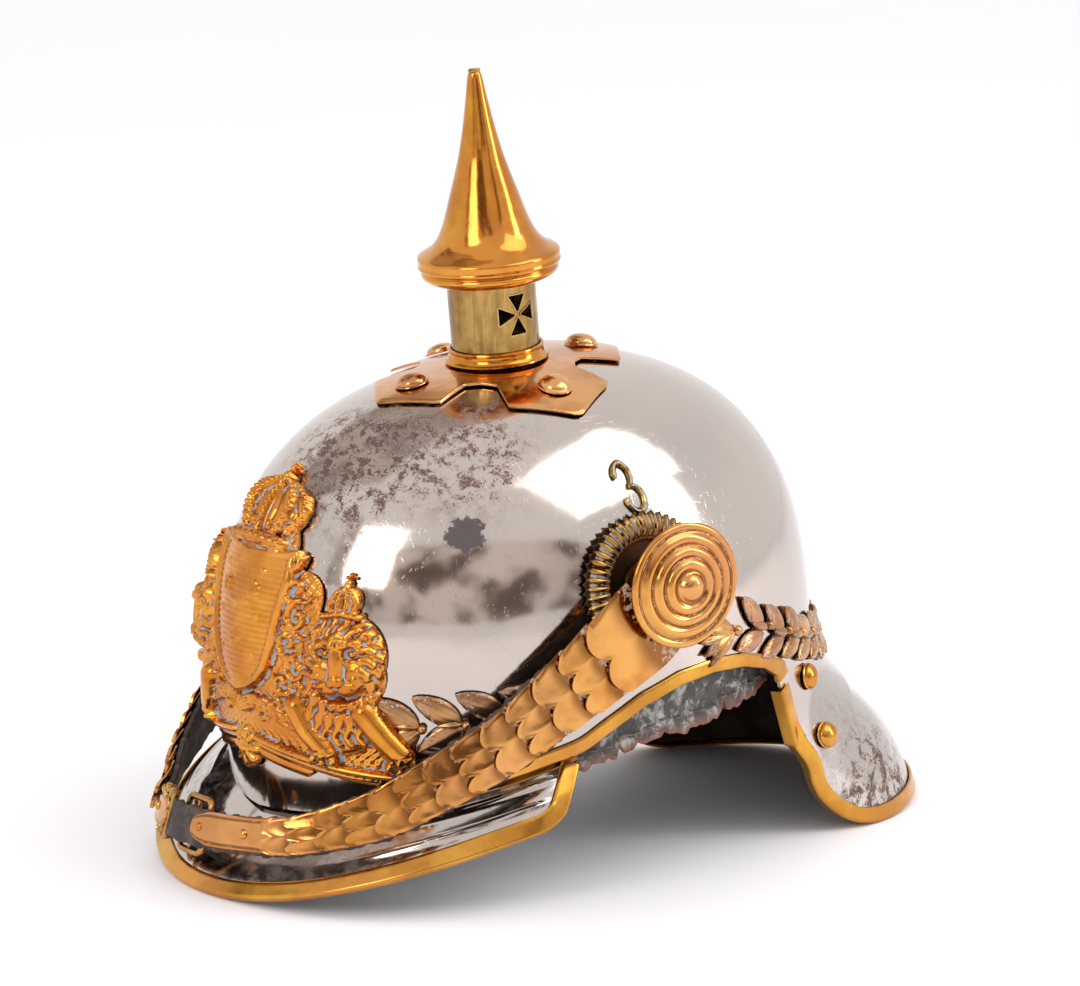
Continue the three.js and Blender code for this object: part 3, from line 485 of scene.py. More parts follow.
def rust_pits_group():
    """Dark pits and specks where the polish has gone, gathered in the given patches."""
    group, given, out = new_group(
        "rust pits",
        [("Patch", "Float", 0.0), ("Fineness", "Float", 900.0), ("Spread", "Float", 0.5)],
        [("Pits", "Float"), ("Haze", "Float"), ("Depth", "Float")])
    web = Web(group)
    wander = web.noise(web.maths("MULTIPLY", given.outputs["Fineness"], 0.16), 6, 0.7, 0.4)
    gathered = web.maths("MULTIPLY", given.outputs["Patch"], web.ramp(wander, 0.35, 0.65, 0.35, 1.25))
    speck = web.noise(given.outputs["Fineness"], 3, 0.75)
    limit = web.maths("SUBTRACT", 0.80, web.maths("MULTIPLY", gathered, given.outputs["Spread"]))
    pits = web.ramp(speck, limit, web.maths("ADD", limit, 0.06))
    pits = web.maths("MULTIPLY", pits, web.ramp(gathered, 0.02, 0.25))
    haze = web.maths("MULTIPLY", gathered, web.ramp(wander, 0.4, 0.62))
    web.feed(out.inputs["Pits"], web.maths("MINIMUM", pits, 1.0))
    web.feed(out.inputs["Haze"], web.maths("MINIMUM", haze, 1.0))
    web.feed(out.inputs["Depth"], web.maths("MULTIPLY", pits, -1.0))
    return group


def hand_polish_group():
    """Fine scratches and soft swells left by years of rubbing."""
    group, given, out = new_group(
        "hand polish", [("Swell", "Float", 60.0), ("Scratch", "Float", 1400.0)],
        [("Height", "Float"), ("Smear", "Float")])
    web = Web(group)
    swell = web.noise(given.outputs["Swell"], 2, 0.4)
    first = web.noise(given.outputs["Scratch"], 2, 0.6,
                      where=web.stretched((1, 0.05, 0.3), turn=(0.3, 0.5, 0.9)))
    second = web.noise(given.outputs["Scratch"], 2, 0.6,
                       where=web.stretched((0.08, 1, 0.2), turn=(0.7, 0.1, 2.0)))
    lines = web.maths("MAXIMUM", web.ramp(first, 0.66, 0.72), web.ramp(second, 0.67, 0.73))
    height = web.maths("ADD", swell, web.maths("MULTIPLY", lines, -0.04))
    web.feed(out.inputs["Height"], height)
    web.feed(out.inputs["Smear"], web.maths("ADD", web.maths("MULTIPLY", swell, 0.5),
                                            web.maths("MULTIPLY", lines, 0.5)))
    return group


def recess_residue_and_shade_group():
    """Dried polish held in the low places of worked brass, and dirt with painted shade that darkens them."""
    group, given, out = new_group(
        "recess residue and shade", [("Recess", "Float", 0.0), ("Amount", "Float", 0.6)],
        [("Pale", "Float"), ("Grime and shade", "Float")])
    web = Web(group)
    patchy = web.noise(420.0, 5, 0.65)
    held = web.maths("MULTIPLY", given.outputs["Recess"], web.ramp(patchy, 0.36, 0.60, 0.35, 1.35))
    pale = web.ramp(held, web.maths("SUBTRACT", 0.95, given.outputs["Amount"]),
                    web.maths("SUBTRACT", 1.12, given.outputs["Amount"]))
    web.feed(out.inputs["Pale"], pale)
    # The second output is the recess mask for dirt and painted shade.
    web.feed(out.inputs["Grime and shade"], web.ramp(given.outputs["Recess"], 0.15, 0.6))
    return group


def leather_grain_group():
    """Pebbled hide: height for a bump and a value for its worn tops."""
    group, given, out = new_group(
        "leather grain", [("Pebble", "Float", 900.0), ("Crease", "Float", 120.0)],
        [("Height", "Float"), ("Worn", "Float")])
    web = Web(group)
    pebble = web.cells(given.outputs["Pebble"])
    crease = web.noise(given.outputs["Crease"], 6, 0.65, 0.6)
    cracks = web.cells(web.maths("MULTIPLY", given.outputs["Pebble"], 0.35), feature="DISTANCE_TO_EDGE")
    height = web.maths("ADD", web.maths("MULTIPLY", pebble, 0.35), crease)
    height = web.maths("ADD", height, web.maths("MULTIPLY", web.ramp(cracks, 0.0, 0.08), 0.35))
    web.feed(out.inputs["Height"], height)
    web.feed(out.inputs["Worn"], web.ramp(crease, 0.42, 0.68))
    return group


RUST_PITS = rust_pits_group()
HAND_POLISH = hand_polish_group()
RECESS_RESIDUE_AND_SHADE = recess_residue_and_shade_group()
LEATHER_GRAIN = leather_grain_group()


def new_finish(name, metallic=0.0):
    material = bpy.data.materials.new(name)
    material.use_nodes = True
    shader = material.node_tree.nodes["Principled BSDF"]
    shader.inputs["Metallic"].default_value = metallic
    return material, Web(material.node_tree), shader


def bumped(web, shader, height, strength, distance_mm):
    bump = web.tree.nodes.new("ShaderNodeBump")
    bump.inputs["Strength"].default_value = strength
    bump.inputs["Distance"].default_value = distance_mm * MM
    web.feed(bump.inputs["Height"], height)
    web.feed(shader.inputs["Normal"], bump.outputs["Normal"])


# ---------------------------------------------------------------- finishes
def polished_steel(name, patches, stain=None, base_roughness=0.085):
    """Bright steel with a warm cast and pitting in patches, each (place, radius, soft, strength).

    stain is the (place, size) of one dark blot.
    """
    material, web, shader = new_finish(name, metallic=1.0)
    patch = web.maths("MULTIPLY", web.ramp(web.noise(16.0, 3), 0.55, 0.8), 0.14)
    for place, radius, soft, strength in patches:
        patch = web.maths("MAXIMUM", patch, web.maths("MULTIPLY", web.spot(place, radius, soft), strength))
    pits = web.group(RUST_PITS, Patch=patch, Fineness=1250.0, Spread=0.40)
    polish = web.group(HAND_POLISH, Swell=48.0, Scratch=1500.0)
    cast = web.blend(web.ramp(web.noise(9.0, 3), 0.35, 0.65), (0.785, 0.735, 0.70), (0.745, 0.71, 0.685))
    worn = web.blend(web.maths("MULTIPLY", pits["Haze"], 0.85), cast, (0.50, 0.41, 0.37))
    worn = web.blend(pits["Pits"], worn, (0.37, 0.27, 0.235))
    roughness = web.maths("ADD", base_roughness, web.maths("MULTIPLY", polish["Smear"], 0.09))
    roughness = web.maths("ADD", roughness, web.maths("MULTIPLY", pits["Haze"], 0.24))
    roughness = web.maths("ADD", roughness, web.maths("MULTIPLY", pits["Pits"], 0.35))
    dark = pits["Pits"]
    if stain:
        ragged = web.maths("MULTIPLY", web.maths("SUBTRACT", web.noise(330.0, 6, 0.7), 0.5), 1.5)
        blot = web.ramp(web.maths("ADD", web.spot(stain[0], 0.0, stain[1]), ragged), 0.46, 0.56)
        blot = web.maths("MULTIPLY", blot, web.spot(stain[0], stain[1], 3.0))
        worn = web.blend(web.maths("MULTIPLY", blot, 0.92), worn, (0.235, 0.19, 0.20))
        roughness = web.maths("ADD", roughness, web.maths("MULTIPLY", blot, 0.4))
        dark = web.maths("MAXIMUM", dark, blot)
    web.feed(shader.inputs["Base Color"], worn)
    web.feed(shader.inputs["Roughness"], roughness)
    dark = web.maths("MAXIMUM", dark, web.maths("MULTIPLY", pits["Haze"], 0.7))
    web.feed(shader.inputs["Metallic"], web.maths("SUBTRACT", 1.0, web.maths("MULTIPLY", dark, 0.75)))
    height = web.maths("ADD", polish["Height"], web.maths("MULTIPLY", pits["Depth"], 0.25))
    bumped(web, shader, height, 0.30, 1.1)
    return material


def dull_inside():
    """The skull's unpolished inner face."""
    material, web, shader = new_finish("dull inner steel", metallic=1.0)
    cloud = web.noise(70.0, 6, 0.65)
    web.feed(shader.inputs["Base Color"], web.blend(web.ramp(cloud, 0.38, 0.66), (0.30, 0.27, 0.25),
                                                    (0.42, 0.37, 0.34)))
    web.feed(shader.inputs["Roughness"], web.ramp(cloud, 0.3, 0.7, 0.45, 0.7))
    bumped(web, shader, web.noise(500.0, 5, 0.7), 0.3, 0.3)
    return material


def brass(name, light, deep, rosy=(0.84, 0.52, 0.34), rosy_share=0.35, tarnish=0.25, smooth=0.13,
          residue=None,
          reflection_streaks=False, pale=(0.66, 0.67, 0.67), grime_and_shade=(0.46, 0.27, 0.11), dark=(0.40, 0.28, 0.16)):
    """Rubbed brass with rosy and deeper clouds and tarnish.

    residue is how much dried polish its recesses hold, or None where the piece has no recesses; the recesses
    are also darkened with dirt and painted shade. With the streak option, vertical dark lines are painted
    into the colour as reflections.
    """
    material, web, shader = new_finish(name, metallic=1.0)
    broad = web.noise(36.0, 4, 0.6)
    base = web.blend(web.ramp(broad, 0.38, 0.62), deep, light)
    base = web.blend(web.maths("MULTIPLY", web.ramp(web.noise(23.0, 3), 0.45, 0.62), rosy_share), base, rosy)
    spots = web.ramp(web.noise(520.0, 5, 0.75), 0.60, 0.74)
    tarnish_and_painted_reflection = web.maths("MULTIPLY", spots, tarnish)
    if reflection_streaks:
        # Vertical dark lines painted into the colour as reflections on the round column, a little rougher
        # there.
        run = web.noise(300.0, 5, 0.7, where=web.stretched((1, 1, 0.05)))
        tarnish_and_painted_reflection = web.maths("MAXIMUM", tarnish_and_painted_reflection, web.maths("MULTIPLY", web.ramp(run, 0.42, 0.66), 0.4))
    base = web.blend(tarnish_and_painted_reflection, base, dark)
    polish = web.group(HAND_POLISH, Swell=110.0, Scratch=1700.0)
    roughness = web.maths("ADD", smooth, web.maths("MULTIPLY", polish["Smear"], 0.10))
    roughness = web.maths("ADD", roughness, web.maths("MULTIPLY", tarnish_and_painted_reflection, 0.35))
    metallic = 1.0
    if residue is not None:
        # Recesses: pale dried polish, and darkening as dirt and painted shade.
        held = web.group(RECESS_RESIDUE_AND_SHADE, Recess=web.attribute("recess"), Amount=residue)
        base = web.blend(web.maths("MULTIPLY", held["Grime and shade"], 0.75), base, grime_and_shade)
        base = web.blend(held["Pale"], base, pale)
        roughness = web.maths("ADD", roughness, web.maths("MULTIPLY", held["Pale"], 0.45))
        metallic = web.maths("SUBTRACT", 1.0, web.maths("MULTIPLY", held["Pale"], 0.8))
    web.feed(shader.inputs["Base Color"], base)
    web.feed(shader.inputs["Roughness"], roughness)
    web.feed(shader.inputs["Metallic"], metallic)
    bumped(web, shader, web.maths("ADD", polish["Height"], web.maths("MULTIPLY", spots, -0.05)), 0.25, 0.7)
    return material


def leather(name, dark, light, roughness, pebble, bump_mm):
    """Hide with a worn grain, smoother on its worn tops."""
    material, web, shader = new_finish(name)
    grain = web.group(LEATHER_GRAIN, Pebble=pebble, Crease=pebble * 0.13)
    base = web.blend(grain["Worn"], dark, light)
    web.feed(shader.inputs["Base Color"], base)
    web.feed(shader.inputs["Roughness"], web.ramp(grain["Worn"], 0, 1, roughness, roughness - 0.14))
    bumped(web, shader, grain["Height"], 0.5, bump_mm)
    return material


def lining_leather():
    """Old grey leather, silvered by wear, its torn lower edge showing red-brown flesh."""
    material, web, shader = new_finish("lining leather")
    grain = web.group(LEATHER_GRAIN, Pebble=520.0, Crease=60.0)
    silver = web.ramp(web.noise(170.0, 7, 0.72, 0.5), 0.47, 0.66)
    base = web.blend(silver, (0.27, 0.255, 0.245), (0.66, 0.645, 0.625))
    base = web.blend(web.attribute("recess"), base, (0.47, 0.29, 0.21))
    web.feed(shader.inputs["Base Color"], base)
    web.feed(shader.inputs["Roughness"], web.ramp(silver, 0, 1, 0.62, 0.40))
    bumped(web, shader, grain["Height"], 0.8, 0.7)
    return material


def make_finishes():
    crown_front = on_skull(-68.0, 88.0)
    crown_side = on_skull(-38.0, 89.0)
    tail = on_skull(52.0, -52.0)
    guard_tail = on_skull(56.0, -66.0)
    stain_place = on_skull(-35.7, 66.0)
    return {
        "skull": polished_steel("skull steel", [
            (crown_front, 14, 30, 0.95), (crown_side, 12, 26, 0.8), (on_skull(-90.0, 92.0), 8, 24, 0.7),
            (tail, 8, 30, 0.6), (mirrored(tail), 8, 30, 0.6),
        ], stain=(stain_place, 13.0)),
        "visor": polished_steel("visor steel", [
            (np.array([40.0, -118.0, -45.0]), 10, 40, 0.35), (np.array([-50.0, -110.0, -45.0]), 10, 40, 0.3),
        ], base_roughness=0.07),
        "guard": polished_steel("guard steel", [
            (guard_tail, 14, 26, 0.85), (mirrored(guard_tail), 14, 26, 0.85),
            (on_skull(90.0, -70.0), 10, 30, 0.5),
        ], base_roughness=0.12),
        "inside": dull_inside(),
        "brass": brass("brass", light=(0.85, 0.62, 0.30), deep=(0.72, 0.47, 0.20), rosy=(0.82, 0.55, 0.36)),
        "trim": brass("trim brass", light=(0.84, 0.62, 0.26), deep=(0.72, 0.50, 0.20), rosy_share=0.25,
                      smooth=0.17),
        "scale": brass("scale brass", light=(0.85, 0.62, 0.34), deep=(0.75, 0.50, 0.24),
                       rosy=(0.85, 0.60, 0.42), rosy_share=0.4, tarnish=0.25, residue=0.12,
                       pale=(0.76, 0.64, 0.54), grime_and_shade=(0.42, 0.25, 0.13)),
        "cone": brass("cone brass", light=(0.84, 0.60, 0.25), deep=(0.74, 0.47, 0.18),
                      rosy=(0.80, 0.48, 0.24), rosy_share=0.5, tarnish=0.12, smooth=0.10),
        # The column's vertical dark lines are painted reflections.
        "column": brass("column brass", light=(0.72, 0.60, 0.35), deep=(0.55, 0.41, 0.22), rosy_share=0.2,
                        tarnish=0.4, smooth=0.17, reflection_streaks=True, dark=(0.33, 0.24, 0.12)),
        "copper": brass("copper brass", light=(0.86, 0.64, 0.42), deep=(0.76, 0.52, 0.31),
                        rosy=(0.80, 0.60, 0.49), rosy_share=0.7, tarnish=0.18, smooth=0.11),
        "plate": brass("plate brass", light=(0.86, 0.59, 0.24), deep=(0.74, 0.46, 0.17), rosy_share=0.2,
                       tarnish=0.2, residue=0.50, smooth=0.17),
        "wreath": brass("wreath brass", light=(0.80, 0.60, 0.38), deep=(0.64, 0.45, 0.28),
                        rosy=(0.78, 0.58, 0.48), rosy_share=0.5, tarnish=0.5, residue=0.55, smooth=0.2),
        "dark_wreath": brass("dark wreath brass", light=(0.74, 0.56, 0.36), deep=(0.58, 0.42, 0.27),
                             rosy=(0.68, 0.52, 0.45), rosy_share=0.4, tarnish=0.6, residue=0.5, smooth=0.26),
        "cockade": brass("cockade brass", light=(0.74, 0.57, 0.32), deep=(0.56, 0.42, 0.23), rosy_share=0.2,
                         tarnish=0.45, residue=0.45, smooth=0.2),
        "black": brass("blackened brass", light=(0.36, 0.32, 0.26), deep=(0.26, 0.22, 0.18), rosy_share=0.1,
                       tarnish=0.6, smooth=0.35),
        "scroll": brass("scroll brass", light=(0.80, 0.70, 0.44), deep=(0.58, 0.47, 0.27), rosy_share=0.1,
                        tarnish=0.4, residue=0.5, smooth=0.2),
        "buckle": brass("buckle brass", light=(0.74, 0.62, 0.36), deep=(0.54, 0.43, 0.22), tarnish=0.5,
                        smooth=0.2),
        "strap": leather("strap leather", (0.15, 0.11, 0.095), (0.31, 0.235, 0.19), 0.52, 1100.0, 0.25),
        "lining": lining_leather(),
        "thread": leather("waxed thread", (0.40, 0.34, 0.29), (0.50, 0.44, 0.38), 0.7, 3000.0, 0.1),
    }


FINISH = make_finishes()


# ---------------------------------------------------------------- skull
def skull_columns():
    """Degrees round the skull, closest together where the lower edge turns down to the tail."""
    left = np.concatenate([
        np.arange(-90, 30, 2.0), np.arange(30, 47, 0.5), np.arange(47, 90, 2.15), [90.0]])
    right = 180 - left[1:-1][::-1]
    return np.concatenate([left, right])


def skull_rows(columns, offset):
    belt_level, belt_rows, dome_rows = 10.0, 16, 52
    edge = skull_edge(columns)
    belt = [on_skull(columns, edge + (belt_level - edge) * row / belt_rows, offset)
            for row in range(belt_rows)]
    start = math.asin((belt_level / CROWN_HEIGHT) ** (CROWN_POWER / 2))
    stop = math.acos((VENT_RADIUS / HALF_WIDTH) ** (WALL_POWER / 2))
    dome = [on_skull(columns, CROWN_HEIGHT * math.sin(turn) ** (2 / CROWN_POWER), offset)
            for turn in np.linspace(start, stop, dome_rows)]
    return np.stack(belt + dome)


DENT_COUNT = 60


def dents(points):
    """Shallow hand dents, so that reflections wander as they do on beaten steel."""
    chance = np.random.default_rng(SEED)
    push = np.zeros(points.shape[:-1])
    for _ in range(DENT_COUNT):
        turn, level = chance.uniform(0, 2 * np.pi), chance.uniform(5, 95)
        place = skull_point(turn, level)
        width, depth = chance.uniform(9, 24), chance.uniform(-0.10, 0.05)
        push += depth * np.exp(-np.sum((points - place) ** 2, -1) / width**2)
    return push


def build_skull():
    columns = skull_columns()
    outer = skull_rows(columns, 0.0)
    normals = unit(outer - skull_rows(columns, -1.0))
    outer = outer + normals * dents(outer)[..., None]
    sheet("steel_skull", outer, skull_rows(columns, -SKULL_WALL), FINISH["skull"], wrap=True,
          inside=FINISH["inside"],
          replaces="skull", slot="polished_steel")


# ---------------------------------------------------------------- neck guard
GUARD_OUTER = -SKULL_WALL - LAP


def guard_rows(offset):
    levels = np.linspace(-75.9, -17, 46)
    shares = np.concatenate([np.linspace(0, 0.2, 24, endpoint=False),
                             np.linspace(0.2, 0.8, 40, endpoint=False),
                             np.linspace(0.8, 1, 25)])
    start = along(GUARD_EDGE, levels)[:, None]
    degrees = start + (180 - 2 * start) * shares[None, :]
    return on_skull(degrees, levels[:, None] + 0 * degrees, offset)


def build_neck_guard():
    sheet("steel_neck_guard", guard_rows(GUARD_OUTER), guard_rows(GUARD_OUTER - GUARD_WALL), FINISH["guard"],
          inside=FINISH["inside"], replaces="neck_guard", slot="polished_steel")


# ---------------------------------------------------------------- visor
VISOR_CORNER = {"start": 0.94, "cut": 0.24}


def visor_rim(u):
    turn = np.pi / 2 * u
    front = np.maximum(np.cos(turn), 0)
    return np.stack([VISOR_RIM["half_width"] * np.sin(turn),
                     VISOR_RIM["centre"] - VISOR_RIM["reach"] * front,
                     VISOR_RIM["side"] - VISOR_RIM["drop"] * front**1.5], -1)


def visor_point(u, v):
    u, v = np.broadcast_arrays(np.asarray(u, float), np.asarray(v, float))
    degrees = -90 + VISOR_SWEEP * u
    root = on_skull(degrees, skull_edge(degrees) - 1, GUARD_OUTER)
    swell = unit(root * np.array([1, 1, 0])) * (1.6 * 4 * v * (1 - v))[..., None]
    return root + (visor_rim(u) - root) * v[..., None] + swell


def visor_normal(u, v):
    step = 0.004
    sideways = visor_point(np.minimum(u + step, 1), v) - visor_point(np.maximum(u - step, -1), v)
    down = visor_point(u, np.asarray(v) + step) - visor_point(u, np.asarray(v) - step)
    normal = unit(np.cross(down, sideways))
    point = visor_point(u, v) * np.array([1, 1, 0]) + np.array([0, 0, 60])
    return normal * np.where(np.sum(normal * point, -1) < 0, -1, 1)[..., None]


def visor_end(u):
    past = np.maximum(np.abs(u) - VISOR_CORNER["start"], 0) / (1 - VISOR_CORNER["start"])
    return 1 - VISOR_CORNER["cut"] * (1 - np.sqrt(np.maximum(1 - past**2, 0)))


def visor_ridges(u, v):
    """Two raised lines each side that run with the rim and die away towards the front."""
    side = np.clip((np.abs(u) - 0.42) / 0.12, 0, 1) * np.clip((0.955 - np.abs(u)) / 0.05, 0, 1)
    height = 0
    for level, bend in ((0.27, 0.06), (0.58, 0.10)):
        line = level + bend * (1 - np.abs(u))
        height = height + 0.75 * np.exp(-(((v - line) / 0.035) ** 2))
    return height * side


def visor_rows(offset, ridged):
    half = 1 - (1 - np.linspace(0, 1, 90)) ** 1.25
    u = np.concatenate([-half[:0:-1], half])
    degrees = -90 + VISOR_SWEEP * u
    flange = on_skull(degrees, skull_edge(degrees) + 5, GUARD_OUTER + offset)
    shares = np.linspace(0, 1, 42)
    uu, vv = np.broadcast_arrays(u[None, :], shares[:, None])
    vv = vv * visor_end(uu)
    lift = offset + (visor_ridges(uu, vv) if ridged else 0)
    body = visor_point(uu, vv) + visor_normal(uu, vv) * (lift + 0 * uu)[..., None]
    return np.concatenate([flange[None], body])


def build_visor():
    sheet("steel_visor", visor_rows(0, True), visor_rows(-VISOR_WALL, True), FINISH["visor"],
          inside=FINISH["inside"],
          replaces="visor", slot="polished_steel")


# ---------------------------------------------------------------- brass trims
TRIM_WALL, TRIM_PLAY = 0.8, 0.4
TRIM_WIDTH = {"visor": 5.2, "guard": 4.4, "ear": 3.8}


def trim_section(width, depth):
    """A band that lies on the sheet, rolls over its edge and hooks behind it: (across, out) pairs."""
    n, top = TRIM_PLAY, TRIM_PLAY + TRIM_WALL
    roll = [(0.3 + 1.1 * math.sin(a), 0.1 + (top - 0.1) * math.cos(a))
            for a in np.linspace(0, math.pi / 2, 7)]
    return np.array([(-width, n), (-width, top - 0.25), (-width + 0.3, top), (-width * 0.66, top),
                     (-width * 0.33, top),
                     (0, top), *roll, (1.4, -depth - n + 0.3), (1.1, -depth - n), (n, -depth - n), (n, n),
                     (-width * 0.33, n), (-width * 0.66, n)])


def trim_rings(points, normals, inside, follow, section, widths=None):
    """Rings of the section along an edge.

    follow(i, across, w) gives the sheet's point and its normal w inside the edge.
    """
    tangents = unit(np.gradient(points, axis=0))
    across = unit(np.cross(tangents, normals))
    across *= np.where(np.sum(across * (points - inside), -1) < 0, -1, 1)[:, None]
    rings = []
    for i, (point, normal) in enumerate(zip(points, normals)):
        ring = []
        for w, n in section:
            if w < 0 and widths is not None:
                w = w * widths[i]
            seat, up = follow(i, across[i], w) if (w < 0 and follow) else (point + across[i] * w, normal)
            ring.append(seat + up * n)
        rings.append(ring)
    return np.array(rings)


def skull_follow(degrees, levels, sinks):
    def step_in(i, across, w):
        phi, z = np.radians(degrees[i]), levels[i]
        around = (skull_point(phi + 0.002, z) - skull_point(phi - 0.002, z)) / 0.004
        up = (skull_point(phi, z + 0.1) - skull_point(phi, z - 0.1)) / 0.2
        aa, au, uu = around @ around, around @ up, up @ up
        a, u = around @ across * w, up @ across * w
        spread = aa * uu - au * au
        phi, z = phi + (a * uu - u * au) / spread, z + (u * aa - a * au) / spread
        normal = skull_normal(phi, z)
        return skull_point(phi, z) + normal * sinks[i], normal
    return step_in


def settle(points):
    """Where the piece meets the surface it stands on, it is worn flat to it."""
    floor = -ORIGIN[2]
    height = points @ TIP[2]
    low = np.minimum(height - floor, 0)
    return points - low[..., None] * TIP[2]


def spaced(path, gap):
    """A polyline of key points resampled to even steps of about gap."""
    path = np.asarray(path, float)
    length = np.concatenate([[0], np.cumsum(np.linalg.norm(np.diff(path, axis=0), axis=1))])
    count = max(int(length[-1] / gap), 2)
    at = np.linspace(0, length[-1], count + 1)
    return np.stack([np.interp(at, length, path[:, k]) for k in range(path.shape[1])], -1)


def build_visor_trim():
    rear = [(1.0, v) for v in np.linspace(0.2, visor_end(1.0), 12, endpoint=False)]
    rim = [(u, float(visor_end(np.array(u)))) for u in 1 - np.linspace(0, 1, 90) ** 1.6]
    left = rear + rim
    uv = np.array(left + [(-u, v) for u, v in left[-2::-1]])
    points = visor_point(uv[:, 0], uv[:, 1])
    normals = visor_normal(uv[:, 0], uv[:, 1])
    inside = visor_point(uv[:, 0] * 0.8, 0.45 + 0 * uv[:, 0])
    rings = trim_rings(points, normals, inside, None, trim_section(TRIM_WIDTH["visor"], VISOR_WALL))
    make_piece("visor_edge_trim", *swept_parts(settle(rings)), FINISH["trim"], replaces="visor_trim",
               slot="brass")


def guard_trim_line():
    front = [(33.56, -14.5)] + [(degrees, z) for z, degrees in GUARD_EDGE[::-1]]
    low, turn = GUARD_EDGE[0]
    bottom = [(turn + (90 - turn) * share, low) for share in np.linspace(0, 1, 24)]
    left = np.array(front + bottom[1:])
    even = np.array([1.8, 1.0])                 # mm for each degree, and for each mm up
    smooth = spaced(left * even, 1.2)
    kernel = np.array([1, 2, 3, 2, 1.0]) / 9
    for _ in range(2):
        for k in range(2):
            smooth[:, k] = np.convolve(np.pad(smooth[:, k], 2, "edge"), kernel, "valid")
    left = smooth / even
    right = np.stack([180 - left[-2::-1, 0], left[-2::-1, 1]], -1)
    return np.concatenate([left, right])


def build_guard_trim():
    line = guard_trim_line()
    degrees, levels = line[:, 0], line[:, 1]
    sinks = along([(-59, GUARD_OUTER), (-50, 0)], levels)
    points = on_skull(degrees, levels, sinks)
    normals = skull_normal(np.radians(degrees), levels)
    inside = on_skull(degrees + (90 - degrees) * 0.2, levels + 4, sinks)
    rings = trim_rings(points, normals, inside, skull_follow(degrees, levels, sinks),
                       trim_section(TRIM_WIDTH["guard"], -GUARD_OUTER + GUARD_WALL))
    make_piece("guard_edge_trim", *swept_parts(settle(rings)), FINISH["trim"], replaces="neck_guard_trim",
               slot="brass")


def build_ear_trims():
    degrees = np.linspace(-32, 33, 130)
    levels = eased(SKULL_EDGE, degrees)
    levels = np.minimum(levels, along(SKULL_EDGE, degrees))
    widths = 1 + 0.55 * np.clip((degrees - 27) / 6, 0, 1) ** 2
    for side, sign in SIDES:
        turned = to_side(degrees, sign)
        points = on_skull(turned, levels)
        normals = skull_normal(np.radians(turned), levels)
        inside = on_skull(turned, 30 + 0 * turned)
        rings = trim_rings(points, normals, inside, skull_follow(turned, levels, 0 * levels),
                           trim_section(TRIM_WIDTH["ear"], SKULL_WALL - TRIM_PLAY), widths)
        make_piece(f"ear_edge_trim_{side}", *swept_parts(rings), FINISH["trim"],
                   replaces=f"ear_trim_{side}", slot="brass")


# ---------------------------------------------------------------- crown plate, studs and spike
BASE_PLATE = {"bore": 13.6, "tip": 51.0, "shoulder": (38.0, 21.0), "armpit": (24.4, 16.6), "notch": 19.6,
              "wall": 0.9,
              "seat": 0.8}
STUD_CIRCLE = 35.6


def straight_reach(angle, start, stop):
    normal = math.atan2(stop[0] - start[0], start[1] - stop[1])
    distance = start[0] * math.cos(normal) + start[1] * math.sin(normal)
    return distance / math.cos(angle - normal)


def plate_reach(off):
    """How far the plate's outline lies from the spike's axis, off degrees from the middle of an arm."""
    angle = math.radians(abs(off))
    corners = [(BASE_PLATE["tip"], 0), BASE_PLATE["shoulder"], BASE_PLATE["armpit"],
               (BASE_PLATE["notch"],) * 2]
    for start, stop in zip(corners, corners[1:]):
        if angle <= math.atan2(stop[1], stop[0]) + 1e-9:
            return straight_reach(angle, start, stop)


def build_base_plate():
    shoulder, armpit = (math.degrees(math.atan2(BASE_PLATE[k][1], BASE_PLATE[k][0]))
                        for k in ("shoulder", "armpit"))
    half = [*np.linspace(0, shoulder, 14), *np.linspace(shoulder, armpit, 16)[1:],
            *np.linspace(armpit, 45, 8)[1:]]
    arm = [-x for x in half[:0:-1]] + list(half[:-1])
    turns = [(quarter, off) for quarter in (0, 90, 180, 270) for off in arm]
    angle = np.radians([quarter + off for quarter, off in turns])
    reach = np.array([plate_reach(off) for _, off in turns])
    for _ in range(2):
        reach = (np.roll(reach, 1) + 2 * reach + np.roll(reach, -1)) / 4

    def level(shares, offsets):
        ring = []
        for share, offset in zip(shares, offsets):
            radius = BASE_PLATE["bore"] + (reach - BASE_PLATE["bore"]) * share
            ring.append(on_dome(radius * np.cos(angle), radius * np.sin(angle), offset + 0 * radius))
        return np.stack(ring)

    shares = [*np.linspace(0, 0.965, 22), 0.985, 1.0]
    top = BASE_PLATE["seat"] + BASE_PLATE["wall"]
    lifts = [top] * 22 + [top - 0.12, top - 0.45]
    sheet("crown_plate", level(shares, lifts), level(shares, [BASE_PLATE["seat"]] * 24), FINISH["copper"],
          wrap=True,
          replaces="base_plate", slot="copper_brass")


def domed_stud(washer, radius, height):
    """A domed nail head on its washer."""
    profile = [(0, 0), (washer - 0.2, 0), (washer, 0.25), (washer - 0.15, 0.55), (radius + 0.3, 0.62),
               (radius, 0.8)]
    return turned_parts(profile + head_outline(radius, 0.8, height - 0.1, 0.12, 10), 40)


def build_studs():
    points, faces = domed_stud(6.2, 5.3, 2.9)
    lift = BASE_PLATE["seat"] + BASE_PLATE["wall"] + 0.3
    for name, x, y in (("left", 1, 0), ("back", 0, 1), ("right", -1, 0), ("front", 0, -1)):
        across, back = np.array(x * STUD_CIRCLE), np.array(y * STUD_CIRCLE)
        seat = on_dome(across, back, lift)
        normal = seat - on_dome(across, back, 0.0)
        make_piece(f"crown_stud_{name}", stand(points, seat, normal), faces, FINISH["copper"],
                   replaces=f"base_stud_{name}", slot="copper_brass")


RIVETS = (("upper", 45.5, -17.0), ("lower", 45.8, -39.0))     # name, degrees, height


